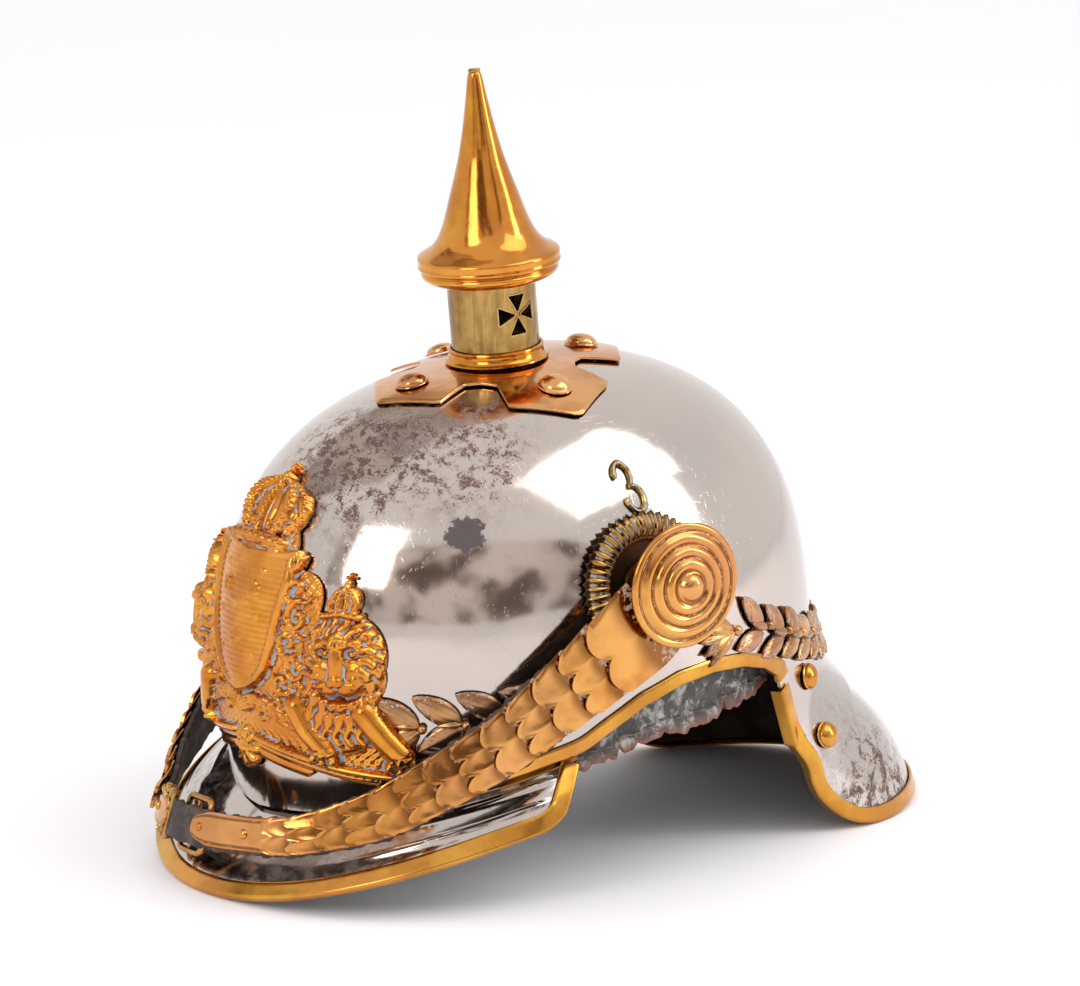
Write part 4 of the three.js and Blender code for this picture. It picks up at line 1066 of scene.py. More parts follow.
def build_rivets():
    points, faces = domed_stud(4.9, 4.6, 3.0)
    for level, degrees, z in RIVETS:
        for side, sign in SIDES:
            turned = to_side(degrees, sign)
            place, normal = on_skull(turned, z, 0.5), skull_normal(math.radians(turned), z)
            make_piece(f"tail_rivet_{level}_{side}", stand(points, place, normal), faces, FINISH["brass"],
                       replaces=f"neck_rivet_{level}_{side}", slot="brass")


COLUMN = {"outer": 15.6, "inner": 14.4, "bottom": 106.6, "top": 137.0}
VENT = {"level": 124.6, "inner": 1.3, "outer": 7.0, "spread": 3.3, "outline": 1.10}


def vent_corners(turn):
    """The corners of one splayed arm of a vent cross, as (sideways, up)."""
    flat = [(VENT["inner"], -0.35), (VENT["outer"], -VENT["spread"]), (VENT["outer"], VENT["spread"]),
            (VENT["inner"], 0.35)]
    c, s = math.cos(turn), math.sin(turn)
    return [(x * c - y * s, x * s + y * c) for x, y in flat]


def on_column(sideways, up, radius, side):
    angle = sideways / COLUMN["outer"]
    return np.stack([side * radius * np.cos(angle), radius * np.sin(angle), VENT["level"] + up], -1)


def build_column():
    """The vented tube: a closed tube with both crosses cut through, and a raised line round each hole."""
    tube_profile = [(COLUMN["inner"], COLUMN["bottom"]), (COLUMN["outer"], COLUMN["bottom"]),
                    *[(COLUMN["outer"], z) for z in np.linspace(108, 134, 20)],
                    (COLUMN["outer"], COLUMN["top"]), (COLUMN["inner"], COLUMN["top"]),
                    *[(COLUMN["inner"], z) for z in np.linspace(134, 108, 20)]]
    tube = make_piece("vented_column", *turned_parts(tube_profile, 128), FINISH["column"],
                      replaces="spike_column",
                      slot="old_brass")
    cutters = []
    for quarter in range(4):
        corners = vent_corners(quarter * math.pi / 2)
        near = np.array([(-30.0, y, VENT["level"] + z) for y, z in corners])
        far = near * np.array([-1, 1, 1])
        cutters.append(swept_parts(np.stack([near, far])))
    points, faces = joined(cutters)
    mesh = bpy.data.meshes.new("vent cutter")
    mesh.from_pydata(tip(points).tolist(), [], faces)
    cutter = bpy.data.objects.new("vent cutter", mesh)
    bpy.context.scene.collection.objects.link(cutter)
    cut = tube.modifiers.new("vents", "BOOLEAN")
    cut.operation, cut.solver, cut.object = "DIFFERENCE", "EXACT", cutter
    bpy.context.view_layer.update()
    result = bpy.data.meshes.new_from_object(tube.evaluated_get(bpy.context.evaluated_depsgraph_get()))
    tube.modifiers.clear()
    tube.data = result
    bpy.data.objects.remove(cutter)
    result.set_sharp_from_angle(angle=math.radians(40))

    lines = []
    for side in (1, -1):
        for quarter in range(4):
            corners = np.array(vent_corners(quarter * math.pi / 2))
            centre = corners.mean(0)
            corners = centre + (corners - centre) * VENT["outline"]
            path = spaced(np.concatenate([corners, corners[:1]]), 0.8)[:-1]
            ring = []
            for i, (x, y) in enumerate(path):
                before, after = path[i - 1], path[(i + 1) % len(path)]
                run = (after - before) / np.linalg.norm(after - before)
                nx, ny = run[1], -run[0]
                ring.append([on_column(np.array(x + nx * w), np.array(y + ny * w), COLUMN["outer"] + h, side)
                             for w, h in ((-0.3, 0.02), (0.3, 0.02), (0.22, 0.32), (-0.22, 0.32))])
            lines.append(swept_parts(np.array(ring), closed=True))
    make_piece("vent_outlines", *joined(lines), FINISH["scroll"], slot="brass")


COLLAR_OUTLINE = [(16.0, 106.9), (17.9, 106.7), (18.4, 106.9), (18.3, 107.4), (17.5, 107.9), (17.0, 108.8),
                  (16.75, 109.9), (16.8, 110.5), (17.0, 111.0), (16.8, 111.5), (16.3, 111.7), (16.0, 111.6)]


def build_collar():
    make_piece("column_collar", *turned_parts(COLLAR_OUTLINE, 96), FINISH["cone"], replaces="spike_collar",
               slot="copper_brass")


SPIKE_OUTLINE = [
    (16.0, 134.9), (19.4, 135.3), (21.8, 136.0), (23.4, 137.0), (24.1, 138.0), (24.2, 138.8), (23.8, 139.5),
    (23.5, 139.9),
    (24.2, 140.3), (25.1, 140.8), (25.3, 141.5), (25.0, 142.3), (25.1, 143.6), (25.1, 144.5), (24.6, 145.2),
    (23.4, 145.9),
    (21.4, 146.9), (19.5, 148.4), (17.8, 150.5), (16.3, 153.3), (14.9, 156.8), (13.6, 160.8), (12.4, 164.8),
    (10.2, 171.7),
    (8.0, 179), (6.4, 186), (5.0, 193), (3.75, 200), (2.75, 206.3), (2.3, 208.4), (1.7, 209.3),
    (0.8, 209.6), (0, 209.65),
]


SPIKE_HOLLOW = [
    (0, 203), (3.0, 196), (7.4, 176), (12.2, 159.5), (16.2, 149.8), (21.6, 144.0), (22.0, 141.0),
    (16.0, 137.4),
]
SPIKE_KNOB = [(0, 208.9), (1.5, 209.0), (2.1, 209.2), (2.3, 209.7), (2.0, 210.0), (1.2, 210.15), (0, 210.2)]


def build_spike():
    outside = rounded(SPIKE_OUTLINE[:-1], 3, 0.3)[:-1] + SPIKE_OUTLINE[-1:]
    make_piece("spike", *turned_parts(outside + SPIKE_HOLLOW, 96), FINISH["cone"], replaces="spike_cone",
               slot="brass", sharp=50)
    make_piece("spike_tip", *turned_parts(SPIKE_KNOB, 32), FINISH["column"], slot="old_brass")


# ---------------------------------------------------------------- rosettes and cockades
ROSETTE_RINGS = [
    (0, 0), (21.3, 0), (21.8, 0.35), (21.9, 0.9), (21.4, 1.5), (20.6, 1.8), (19.8, 1.6), (19.2, 1.15),
    (18.6, 1.3),
    (18.0, 2.2), (17.1, 2.95), (16.2, 3.05), (15.3, 2.8), (14.7, 2.2), (14.2, 2.3), (13.7, 3.3),
    (12.9, 4.1), (12.0, 4.3),
    (11.1, 4.05), (10.5, 3.4), (10.0, 3.45), (9.5, 4.4), (8.8, 5.1), (7.9, 5.3), (7.0, 5.05), (6.3, 4.4),
    (5.6, 4.3),
    (4.9, 4.6), (4.5, 5.6), (3.7, 6.6), (2.5, 7.3), (1.2, 7.6), (0, 7.7),
]
ROSETTE_DIPS = (19.1, 14.5, 10.2, 5.9)


def build_rosettes():
    points, faces = turned_parts(ROSETTE_RINGS, 96)
    radius = np.hypot(points[:, 0], points[:, 1])
    recess = sum(np.exp(-(((radius - dip) / 0.45) ** 2)) for dip in ROSETTE_DIPS)
    recess = np.where(points[:, 2] > 0.5, recess, 0)
    low, _ = rows(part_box("rosette_left"))
    for side, sign in SIDES:
        placed = stand(points, (sign * low[0], ROSETTE_CENTRE[1], ROSETTE_CENTRE[2]), (sign, 0, 0))
        make_piece(f"strap_rosette_{side}", placed, faces, FINISH["scale"], replaces=f"rosette_{side}",
                   slot="brass",
                   recess=recess, sharp=60)


COCKADE = {"teeth": 46, "ring_reach": 25.0, "back_reach": 25.6, "bite": 1.9}
# radius, rise and depth of the flutes; the toothed edge comes after these, with its own rise and depth
COCKADE_RINGS = (
    (15.2, 0.6, 0), (15.6, 1.6, 0.1), (16.2, 2.6, 0.5), (17.4, 3.6, 1.0), (19.0, 4.1, 1.3), (20.8, 4.0, 1.4),
    (22.6, 3.4, 1.4), (24.0, 2.5, 1.3),
)
COCKADE_EDGE = (1.7, 1.2)
POST_OUTLINE = [(0, 0.3), (9.0, 0.3), (9.4, 0.8), (9.0, 1.6), (7.6, 2.0), (7.2, 3.0), (6.8, 6.4), (6.0, 7.0),
                (3.4, 7.2), (3.4, 16.4), (0, 16.4)]


def saw_teeth(steps, start):
    """Angles round the cockade, and a saw wave over them that runs between 0 and 1 with each tooth."""
    angles = np.linspace(0, 2 * np.pi, COCKADE["teeth"] * steps, endpoint=False)
    return angles, np.abs(((angles * COCKADE["teeth"] / (2 * np.pi) + start) % 1) - 0.5) * 2


def ring_of(radius, height, angles):
    return np.stack([radius * np.cos(angles), radius * np.sin(angles), height + 0 * angles], -1)


def cockade_parts():
    """A fluted ring with pointed teeth, as a polar sheet, with its recess values."""
    angles, wave = saw_teeth(8, 0.0)
    rings = [*COCKADE_RINGS, (COCKADE["ring_reach"] - COCKADE["bite"] * wave, *COCKADE_EDGE)]
    outer = np.stack([ring_of(radius, rise - flute * wave**1.5, angles) for radius, rise, flute in rings])
    low = np.stack([ring_of(radius, 0.1, angles) for radius, _, _ in rings])
    recess = np.stack([np.clip(wave**2 * flute / 1.4, 0, 1) for _, _, flute in rings])
    return outer, low, recess


def build_cockades():
    outer, low, recess = cockade_parts()
    angles, saw = saw_teeth(4, 0.5)
    edge = COCKADE["back_reach"] - COCKADE["bite"] * saw
    dark = np.stack([ring_of(r, z, angles) for r, z in ((9.0, 0.2), (14.0, 0.2), (20.0, 0.0), (edge, -0.2))])
    dark_low = dark - np.array([0, 0, 0.6])
    post_points, post_faces = turned_parts(POST_OUTLINE, 48)
    for side, sign in SIDES:
        place = np.array([sign * COCKADE_CENTRE[0], COCKADE_CENTRE[1], COCKADE_CENTRE[2]])
        normal = (sign * math.cos(COCKADE_LEAN), 0, math.sin(COCKADE_LEAN))
        sheet(f"cockade_ring_{side}", stand(outer, place, normal), stand(low, place, normal),
              FINISH["cockade"], wrap=True,
              recess=recess, replaces=f"cockade_{side}", slot="old_brass", sharp=50)
        sheet(f"cockade_back_{side}", stand(dark, place, normal), stand(dark_low, place, normal),
              FINISH["black"],
              wrap=True, slot="old_brass")
        make_piece(f"rosette_post_{side}", stand(post_points, place, normal), post_faces, FINISH["buckle"],
                   slot="brass")


# ---------------------------------------------------------------- scroll ornaments
SCROLL = {"degrees": 2.2, "level": 71.5, "loop": 3.7}


def scroll_line():
    """Two open loops, one over the other, as (along the skull, up, half width)."""
    loop = SCROLL["loop"]
    upper_widths = along([(0, 0.9), (0.08, 1.5), (0.3, 0.95), (0.8, 1.2), (1, 0.8)], np.linspace(0, 1, 40))
    upper = [(loop * math.cos(math.radians(a)) - 1.2, loop * 1.05 + loop * math.sin(math.radians(a)), w)
             for a, w in zip(np.linspace(190, -75, 40), upper_widths)]
    lower_widths = along([(0, 0.8), (0.3, 1.3), (0.85, 1.0), (0.94, 1.6), (1, 1.0)], np.linspace(0, 1, 44))
    lower = [(loop * 1.08 * math.cos(math.radians(a)) + 1.0,
              -loop * 1.05 + loop * 1.08 * math.sin(math.radians(a)), w)
             for a, w in zip(np.linspace(75, -190, 44), lower_widths)]
    return np.array(upper + lower)


def build_scrolls():
    line = scroll_line()
    run = unit(np.gradient(line[:, :2], axis=0))
    aside = np.stack([-run[:, 1], run[:, 0]], -1)
    section = [(-1, 0.4), (-0.92, 1.2), (-0.45, 1.75), (-0.25, 1.45), (0.25, 1.45), (0.45, 1.75),
               (0.92, 1.2), (1, 0.4)]
    recess_ring = [0.3, 0.1, 0, 1, 1, 0, 0.1, 0.3]
    for side, sign in SIDES:
        rings = []
        for w, n in section:
            flat = line[:, :2] + aside * (line[:, 2] * w)[:, None]
            degrees = SCROLL["degrees"] + np.degrees(flat[:, 0] / HALF_LENGTH)
            rings.append(on_skull(to_side(degrees, sign), SCROLL["level"] + flat[:, 1], n + 0 * degrees))
        rings = np.stack(rings, 1)
        points, faces = swept_parts(rings)
        make_piece(f"scroll_hook_{side}", points, faces, FINISH["scroll"], replaces=f"scroll_{side}",
                   slot="brass",
                   recess=np.tile(recess_ring, len(line)), sharp=60)


# ---------------------------------------------------------------- front plate, worked as a relief
PLATE_BACK, PLATE_FACE, PLATE_STEP = 0.8, 1.4, 0.48
PLATE_REACH, PLATE_LOW, PLATE_HIGH = 67, -22, 95
FRONT_SCALE = 1.504                         # mm round the front of the skull for each degree at its widest


def level_on_front(climb):
    """The height of a place so many mm up the middle of the front, measured over the curve."""
    levels = np.linspace(0, 103.5, 900)
    line = skull_point(-np.pi / 2, levels)
    length = np.concatenate([[0], np.cumsum(np.linalg.norm(np.diff(line, axis=0), axis=1))])
    return np.where(climb < 0, climb, np.interp(climb, length, levels))


class Relief:
    """A height map over the front of the skull: side is mm from the middle, up is mm over the curve."""

    def __init__(self, reach, low, high, step):
        self.u, self.up = np.meshgrid(np.arange(-reach, reach + step / 2, step), np.arange(low, high, step))
        self.side = np.abs(self.u)
        self.height = np.zeros_like(self.u)
        self.cover = np.full_like(self.u, -9.0)

    def distance(self, path):
        best, share = np.full(self.u.shape, 99.0), np.zeros(self.u.shape)
        path = np.asarray(path, float)
        for i, (a, b) in enumerate(zip(path, path[1:])):
            run, climb = b - a
            t = np.clip(((self.side - a[0]) * run + (self.up - a[1]) * climb) / (run**2 + climb**2 + 1e-9),
                        0, 1)
            gap = np.hypot(self.side - a[0] - t * run, self.up - a[1] - t * climb)
            share = np.where(gap < best, (i + t) / (len(path) - 1), share)
            best = np.minimum(best, gap)
        return best, share

    def settle_on(self, bump, base, spread=None):
        self.height = self.height + bump if base is None else np.maximum(self.height, base + bump)
        if spread is not None:
            self.cover = np.maximum(self.cover, spread)

    def rib(self, path, radius, height, base=None, taper=0.0, covers=True):
        gap, share = self.distance(path)
        reach = radius * (1 - taper * share)
        bump = height * (1 - 0.4 * taper * share) * np.sqrt(np.clip(1 - (gap / reach) ** 2, 0, 1))
        self.settle_on(np.where(gap < reach, bump, -99 if base is not None else 0), base,
                       reach - gap if covers else None)

    def groove(self, path, width, depth):
        gap, _ = self.distance(path)
        self.height = self.height - depth * np.exp(-((gap / width) ** 2))

    def dome(self, place, wide, tall, height, base=None, covers=True, power=0.5):
        off = np.hypot((self.side - place[0]) / wide, (self.up - place[1]) / tall)
        bump = height * np.clip(1 - off**2, 0, 1) ** power
        self.settle_on(np.where(off < 1, bump, -99 if base is not None else 0), base,
                       (1 - off) * min(wide, tall) if covers else None)

    def beads(self, path, gap, radius, height):
        for place in spaced(path, gap):
            self.dome(place, radius, radius, height, covers=False)


def wavy(start, heading, length, bend, waves=1.0, count=9):
    """A path that leaves start at heading degrees and swings from side to side."""
    c, s = math.cos(math.radians(heading)), math.sin(math.radians(heading))
    path = []
    for t in np.linspace(0, 1, count):
        swing = bend * math.sin(2 * math.pi * waves * t) * t**0.5
        path.append((start[0] + c * length * t - s * swing, start[1] + s * length * t + c * swing))
    return path


def curl(centre, radius, start, sweep, tight=0.25, count=18):
    """A spiral path that closes in on its centre."""
    turns = np.radians(np.linspace(start, start + sweep, count))
    radii = radius * np.linspace(1, tight, count)
    return [(centre[0] + r * math.cos(a), centre[1] + r * math.sin(a)) for r, a in zip(radii, turns)]


def draw_ground(relief):
    """The plate behind the figures, with small leafwork in its open places."""
    for path, radius in (([(0, 14), (0, 58)], 20), ([(22, 14), (24, 46)], 10), ([(38, 30), (44, 20)], 13),
                         ([(38, 14), (45, 6)], 11), ([(20, 4), (46, -2)], 9), ([(0, 2), (14, 2)], 8),
                         ([(30, -2), (57, -8)], 6)):
        gap, _ = relief.distance(path)
        relief.cover = np.maximum(relief.cover, radius - gap)
    relief.height += 0.35 + 0.3 * np.sin(relief.side * 1.9 + 2 * np.sin(relief.up * 0.5)) * np.sin(relief.up
                                                                                                   * 1.7)


def draw_leafwork(relief):
    """Curled leaves between the shield and the lions, and the ribbon under the shield."""
    base = relief.height.copy()
    for place, radius, start, sweep in (((24, 49), 4.5, 250, -300), ((26, 40), 5.0, 120, 330),
                                        ((23, 31), 4.2, 240, -320),
                                        ((27, 22), 4.8, 110, 330), ((21, 17), 4.0, 300, -300),
                                        ((30, 12), 4.0, 60, 300)):
        relief.rib(curl(place, radius, start, sweep), 1.5, 2.3, base, taper=0.3)
    for start, heading, length in (((20, 54), 60, 8), ((22, 44), 20, 9), ((21, 36), -15, 10),
                                   ((22, 26), -10, 9),
                                   ((28, 17), -40, 9), ((18, 12), -70, 8), ((24, 10), -75, 9),
                                   ((12, 10), -100, 8)):
        relief.rib(wavy(start, heading, length, 1.2), 1.6, 2.0, base, taper=0.6)
    ribbon = [(0, 6), (6, 8.5), (13, 8), (20, 5), (26, 3), (33, 1)]
    relief.rib(ribbon, 3.0, 1.8, base)
    for edge in (2.2, -2.2):
        relief.rib([(x, y + edge) for x, y in ribbon], 0.6, 0.9)
    relief.beads([(2, 7), (8, 8.4), (14, 7.6), (21, 4.8), (27, 2.8)], 2.4, 0.7, 0.6)


SHIELD_SIDE = [(12.5, 0.0), (14, 5.0), (17, 9.8), (21, 13.2), (30, 16.4), (40, 18.2), (52, 20.4), (60, 20.0)]


def draw_shield(relief):
    half = along(SHIELD_SIDE, relief.up)
    top = 59.5 - 1.6 * np.cos(relief.side / 16 * np.pi)
    inside = np.minimum(np.minimum(half - relief.side, top - relief.up), relief.up - 12.5)
    field = inside > 0
    across = relief.side / np.maximum(half, 1)
    pillow = 2.0 + 1.9 * np.clip(1 - across**2, 0, 1) ** 0.7
    worn = np.exp(-(((relief.u - 3) / 6) ** 2 + ((relief.up - 38) / 10) ** 2))
    hatch = 0.16 * np.sin(relief.up * 2 * np.pi / 1.9) * (1 - 0.9 * worn)
    relief.height = np.where(field, np.maximum(relief.height, pillow + hatch), relief.height)
    left = [(x, y) for y, x in SHIELD_SIDE]
    rim = left + [(21.5, 61.2), (19.0, 60.6), (9, 59.4), (0, 58.4)]
    relief.rib(rim, 1.8, 3.3, 0 * relief.height + 0.5)
    relief.rib(curl((21.0, 57.6), 3.0, 100, -300, 0.3), 1.3, 3.2, 0 * relief.height + 0.5)
    for place in ((7.5, 46.5), (0, 29.5)):
        for turn in range(5):
            a = math.radians(90 + 72 * turn)
            relief.dome((place[0] + 1.9 * math.cos(a), place[1] + 1.9 * math.sin(a)), 1.5, 1.5, 0.9,
                        covers=False)
        relief.dome(place, 1.0, 1.0, 0.9, covers=False)
    for place in ((10.5, 53.5), (10, 38), (8.5, 25)):
        relief.dome(place, 1.0, 1.3, 0.6, covers=False)
    relief.rib([(0, 41.5), (5, 42.5)], 0.8, 0.6, covers=False)


def draw_crown(relief):
    base = 0 * relief.height + 0.6
    relief.rib([(0, 60.6), (15, 60.6)], 2.2, 2.2, base)
    relief.dome((0, 74.8), 17.5, 10.5, 2.2, base)
    inner = relief.height.copy()
    for fold in (0, 4.5, 9.5, 14):
        relief.groove([(fold * 0.8, 68), (fold, 74), (fold * 0.35, 85)], 0.8, 0.9)
    for foot, out in ((0, 0), (8, 10.5), (13, 17)):
        arch = [(foot, 67), (out * 0.97 + 0.01, 72), (out, 76), (out * 0.86, 80.5), (out * 0.5, 84),
                (0.2, 86)]
        relief.rib(arch, 1.5, 1.7, inner, taper=0.25)
        relief.beads(arch, 2.1, 0.95, 0.9)
    relief.rib([(0, 64), (8, 63.6), (13.2, 63)], 2.6, 3.9, base)
    for edge in (-2.1, 2.1):
        relief.rib([(0, 64 + edge), (8, 63.6 + edge), (13.4, 63 + edge)], 0.7, 1.0)
    relief.beads([(1.7, 64), (8, 63.7), (12.6, 63.2)], 3.2, 1.1, 0.9)
    for foot in (0, 4.6, 9.2, 13):
        relief.dome((foot, 68.4), 1.5, 2.2, 2.0, inner)
    relief.dome((0, 86.4), 2.5, 2.5, 3.4, base)
    relief.rib([(0, 88), (0, 91.6)], 0.95, 2.4, base)
    relief.rib([(0, 89.8), (2.2, 89.8)], 0.9, 2.4, base)


def draw_mane(relief):
    """Locks round the lion's head, and the long ones that hang below it."""
    base = relief.height.copy()
    for row, (reach, length, lift, locks) in enumerate(((10.8, 4.6, 1.7, 15), (8.4, 4.2, 2.4, 13))):
        for step in range(locks):
            turn = -48 + step * 276 / (locks - 1) + row * 8
            a = math.radians(turn)
            start = (43 + reach * 0.86 * math.cos(a), 26.5 + reach * math.sin(a))
            relief.rib(wavy(start, turn - 38, length, 0.7, 0.5), 1.9, lift, base + 0.7 * row, taper=0.45,
                       covers=False)
    for row, (low, lift) in enumerate(((17, 1.8), (12.5, 2.4), (7.5, 2.7))):
        for step in range(7):
            start = (32.5 + step * 3.3 + (row % 2) * 1.6, low + (2 if step in (0, 6) else 0))
            path = wavy(start, -96 + (step - 3) * 4, 10.0, 1.1, 1.1)
            relief.rib(path, 1.9, lift, base, taper=0.5, covers=False)


def draw_lion(relief):
    base = 0 * relief.height + 0.5
    relief.dome((43, 26.5), 14.2, 16, 2.6, base)
    relief.dome((42, 8), 13, 15, 2.4, base)
    draw_mane(relief)
    face = 0 * relief.height + 2.9
    relief.dome((43, 25.5), 8.8, 11.0, 3.0, face, covers=False)
    for cheek in ((37.4, 22.5), (49.0, 22.0)):
        relief.dome(cheek, 3.4, 4.4, 1.2, covers=False)
    for ear in ((35.2, 35.6), (51.0, 35.0)):
        relief.dome(ear, 2.6, 3.0, 5.2, base, covers=False)
        relief.dome((ear[0], ear[1] - 0.4), 1.2, 1.6, -1.8, covers=False)
    relief.rib([(42.2, 34.5), (42.8, 28), (43, 21)], 2.4, 2.4, covers=False)
    for brow in ([(36, 31.2), (38.4, 33.4), (41.2, 32.6)], [(44.6, 32.6), (47.4, 33.4), (50.2, 31)]):
        relief.rib(brow, 1.5, 1.7, covers=False)
    for eye in ((38.4, 29.6), (47.4, 29.4)):
        relief.dome(eye, 2.7, 2.0, -2.3, covers=False)
        relief.dome(eye, 1.5, 1.2, 1.9, covers=False)
    relief.dome((43, 20.4), 3.2, 1.9, 1.8, covers=False)
    for pad in ((39.9, 17.6), (46.2, 17.5)):
        relief.dome(pad, 3.5, 2.9, 2.3, covers=False)
    relief.groove([(36.8, 15.6), (40, 14.4), (43, 15.6), (46, 14.3), (49.2, 15.4)], 0.8, 1.7)
    relief.groove([(43, 18.8), (43, 15.6)], 0.5, 1.4)
    relief.dome((43, 11.6), 3.6, 2.2, 2.0, covers=False)


def draw_lion_crown(relief):
    base = 0 * relief.height + 0.6
    relief.dome((42, 46), 5.6, 6.2, 3.2, base)
    inner = relief.height.copy()
    for out in (-4.6, -1.6, 1.6, 4.6):
        arch = [(42 + out * 0.8, 42.5), (42 + out, 46), (42 + out * 0.5, 50), (42, 51.5)]
        relief.rib(arch, 0.8, 1.1, inner)
        relief.beads(arch, 1.6, 0.55, 0.5)
    relief.rib([(36.2, 41.6), (42, 42.4), (47.8, 41.4)], 1.6, 4.0, base)
    relief.beads([(37, 41.7), (42, 42.4), (47, 41.5)], 2.1, 0.8, 0.7)
    relief.dome((42, 52.6), 1.4, 1.4, 3.2, base)
    relief.rib([(42, 53), (42, 56)], 0.7, 2.4, base)
    relief.rib([(40.6, 54.7), (43.4, 54.7)], 0.65, 2.4, base)


def draw_paws(relief):
    base = 0 * relief.height + 0.5
    for leg, width, paw, toes in (([(27, 10), (31, 2), (36, -4)], 3.6, (36.5, -5.5),
                                   ((33, -7.6), (36.2, -8.8), (39.6, -8.4))),
                                  ([(50, 9), (55, 1), (60, -6)], 3.8, (60.5, -8),
                                   ((57, -10.2), (60.2, -11.6), (63.4, -11)))):
        relief.rib(leg, width * 1.2, 6.0, base)
        relief.dome(paw, 4.8, 3.8, 6.2, base)
        for toe in toes:
            relief.dome(toe, 1.8, 2.2, 5.8, base)
            relief.rib([toe, (toe[0] + 0.6, toe[1] - 3.0)], 0.75, 2.6, base, taper=0.4)
        for first, second in zip(toes, toes[1:]):
            middle = ((first[0] + second[0]) / 2, (first[1] + second[1]) / 2)
            relief.groove([middle, (paw[0] * 0.4 + middle[0] * 0.6, middle[1] + 3.5)], 0.5, 1.1)


def draw_ledge(relief):
    """The moulded shelf the lions stand on, the flat strip under it, and the pendant."""
    base = 0 * relief.height + 0.3
    lip = [(7, -4.5), (16, -6.2), (28, -8.6), (42, -11.8), (52, -13.6), (61, -14.8)]
    relief.rib(lip, 1.5, 3.0, base)
    relief.rib([(x, y - 2.6) for x, y in lip[:-1]], 1.5, 0.9, base)
    relief.rib([(x, y - 5) for x, y in lip[:3]], 2.4, 0.5, base)
    relief.dome((0, -9.5), 7.2, 7.6, 1.3, base)
    star = relief.height.copy()
    for reach in ((6.0, 0), (4.2, 4.4)):
        relief.rib([(0, -9.5), (reach[0], -9.5 + reach[1])], 1.5, 1.4, star)
        relief.rib([(0, -9.5), (reach[0], -9.5 - reach[1])], 1.5, 1.4, star)
    relief.rib([(0, -16), (0, -3.4)], 1.5, 1.5, star)
    relief.dome((0, -9.5), 2.6, 2.6, 2.4, star)
    relief.groove(curl((0, -9.5), 3.0, 0, 180, 1.0), 0.4, 0.6)


def blurred(values, radius):
    kernel = np.exp(-np.linspace(-2, 2, 2 * radius + 1) ** 2)
    kernel /= kernel.sum()
    out = values
    for axis in (0, 1):
        out = np.apply_along_axis(lambda line: np.convolve(np.pad(line, radius, "edge"), kernel, "valid"),
                                  axis, out)
    return out


def build_front_plate():
    relief = Relief(PLATE_REACH, PLATE_LOW, PLATE_HIGH, PLATE_STEP)
    for draw in (draw_ground, draw_leafwork, draw_shield, draw_crown, draw_lion, draw_lion_crown,
                 draw_ledge, draw_paws):
        draw(relief)
    relief.height = np.clip(0.65 * relief.height + 0.35 * blurred(relief.height, 1), 0.05, 9)
    # The relief's low places: the finish puts pale polish there and darkens them as dirt and painted shade.
    recess = np.clip((blurred(relief.height, 5) - relief.height) / 0.9, 0, 1)
    cover = blurred(relief.cover, 1)

    count_rows, count_columns = relief.u.shape
    inside = cover > 0
    keep = inside[:-1, :-1] & inside[1:, :-1] & inside[:-1, 1:] & inside[1:, 1:]
    corners = keep[:-1, :-1] & keep[1:, 1:] & ~keep[1:, :-1] & ~keep[:-1, 1:]
    corners |= keep[1:, :-1] & keep[:-1, 1:] & ~keep[:-1, :-1] & ~keep[1:, 1:]
    for row, column in zip(*np.nonzero(corners)):
        keep[row:row + 2, column:column + 2] = True

    around = np.zeros(relief.u.shape, int)
    for down in (0, 1):
        for over in (0, 1):
            around[down:count_rows - 1 + down, over:count_columns - 1 + over] += keep
    rim = (around > 0) & (around < 4)
    slope_up, slope_over = np.gradient(cover, PLATE_STEP)
    steep = np.maximum(slope_up**2 + slope_over**2, 0.2)
    u = relief.u - np.where(rim, np.clip(cover * slope_over / steep, -0.4, 0.4) * 0.9, 0)
    up = relief.up - np.where(rim, np.clip(cover * slope_up / steep, -0.4, 0.4) * 0.9, 0)
    height = np.where(rim, np.minimum(relief.height, 0.5), relief.height)

    level = level_on_front(up)
    shrink = np.maximum(1 - np.clip(level / CROWN_HEIGHT, 0, 1) ** CROWN_POWER, 0.01) ** (1 / WALL_POWER)
    degrees = -90 + u / (FRONT_SCALE * shrink)
    used = around > 0
    number = np.cumsum(used).reshape(used.shape) - 1
    size = int(used.sum())
    face = on_skull(degrees[used], level[used], PLATE_FACE + height[used])
    back = on_skull(degrees[used], level[used], PLATE_BACK + 0 * height[used])

    faces, edges = [], {}
    for row, column in zip(*np.nonzero(keep)):
        quad = (number[row, column], number[row, column + 1], number[row + 1, column + 1],
                number[row + 1, column])
        quad = tuple(int(i) for i in quad)
        faces += [quad, tuple(i + size for i in quad[::-1])]
        for a, b in zip(quad, quad[1:] + quad[:1]):
            if (b, a) in edges:
                del edges[b, a]
            else:
                edges[a, b] = True
    faces += [(b, a, a + size, b + size) for a, b in edges]
    points = np.concatenate([face, back])
    worn = np.concatenate([recess[used], np.zeros(size)])
    make_piece("front_plate_relief", points, outward(points, faces), FINISH["plate"], recess=worn,
               replaces="front_plate",
               slot="brass", sharp=75)


# ---------------------------------------------------------------- wreath of leaves
WREATH_LEVEL = [
    (-50, 1.5), (-40, 3), (-30, 7), (-20, 13), (-8, 20), (6, 22), (14, 19), (22, 13), (32, 5), (43, -2),
    (60, -9), (90, -14),
]
REAR_STEM, FRONT_STEM = (25, 86, 7.4), (-46, -18, 8.4)          # first, last and step, degrees
FAN_HEADINGS = (146, 163, 180, 197, 214)
FRONT_SPRIG_LEVEL = [(-52, 2.0), (-42, 2.0), (-34, 2.5), (-26, 4.0), (-16, 7.0)]


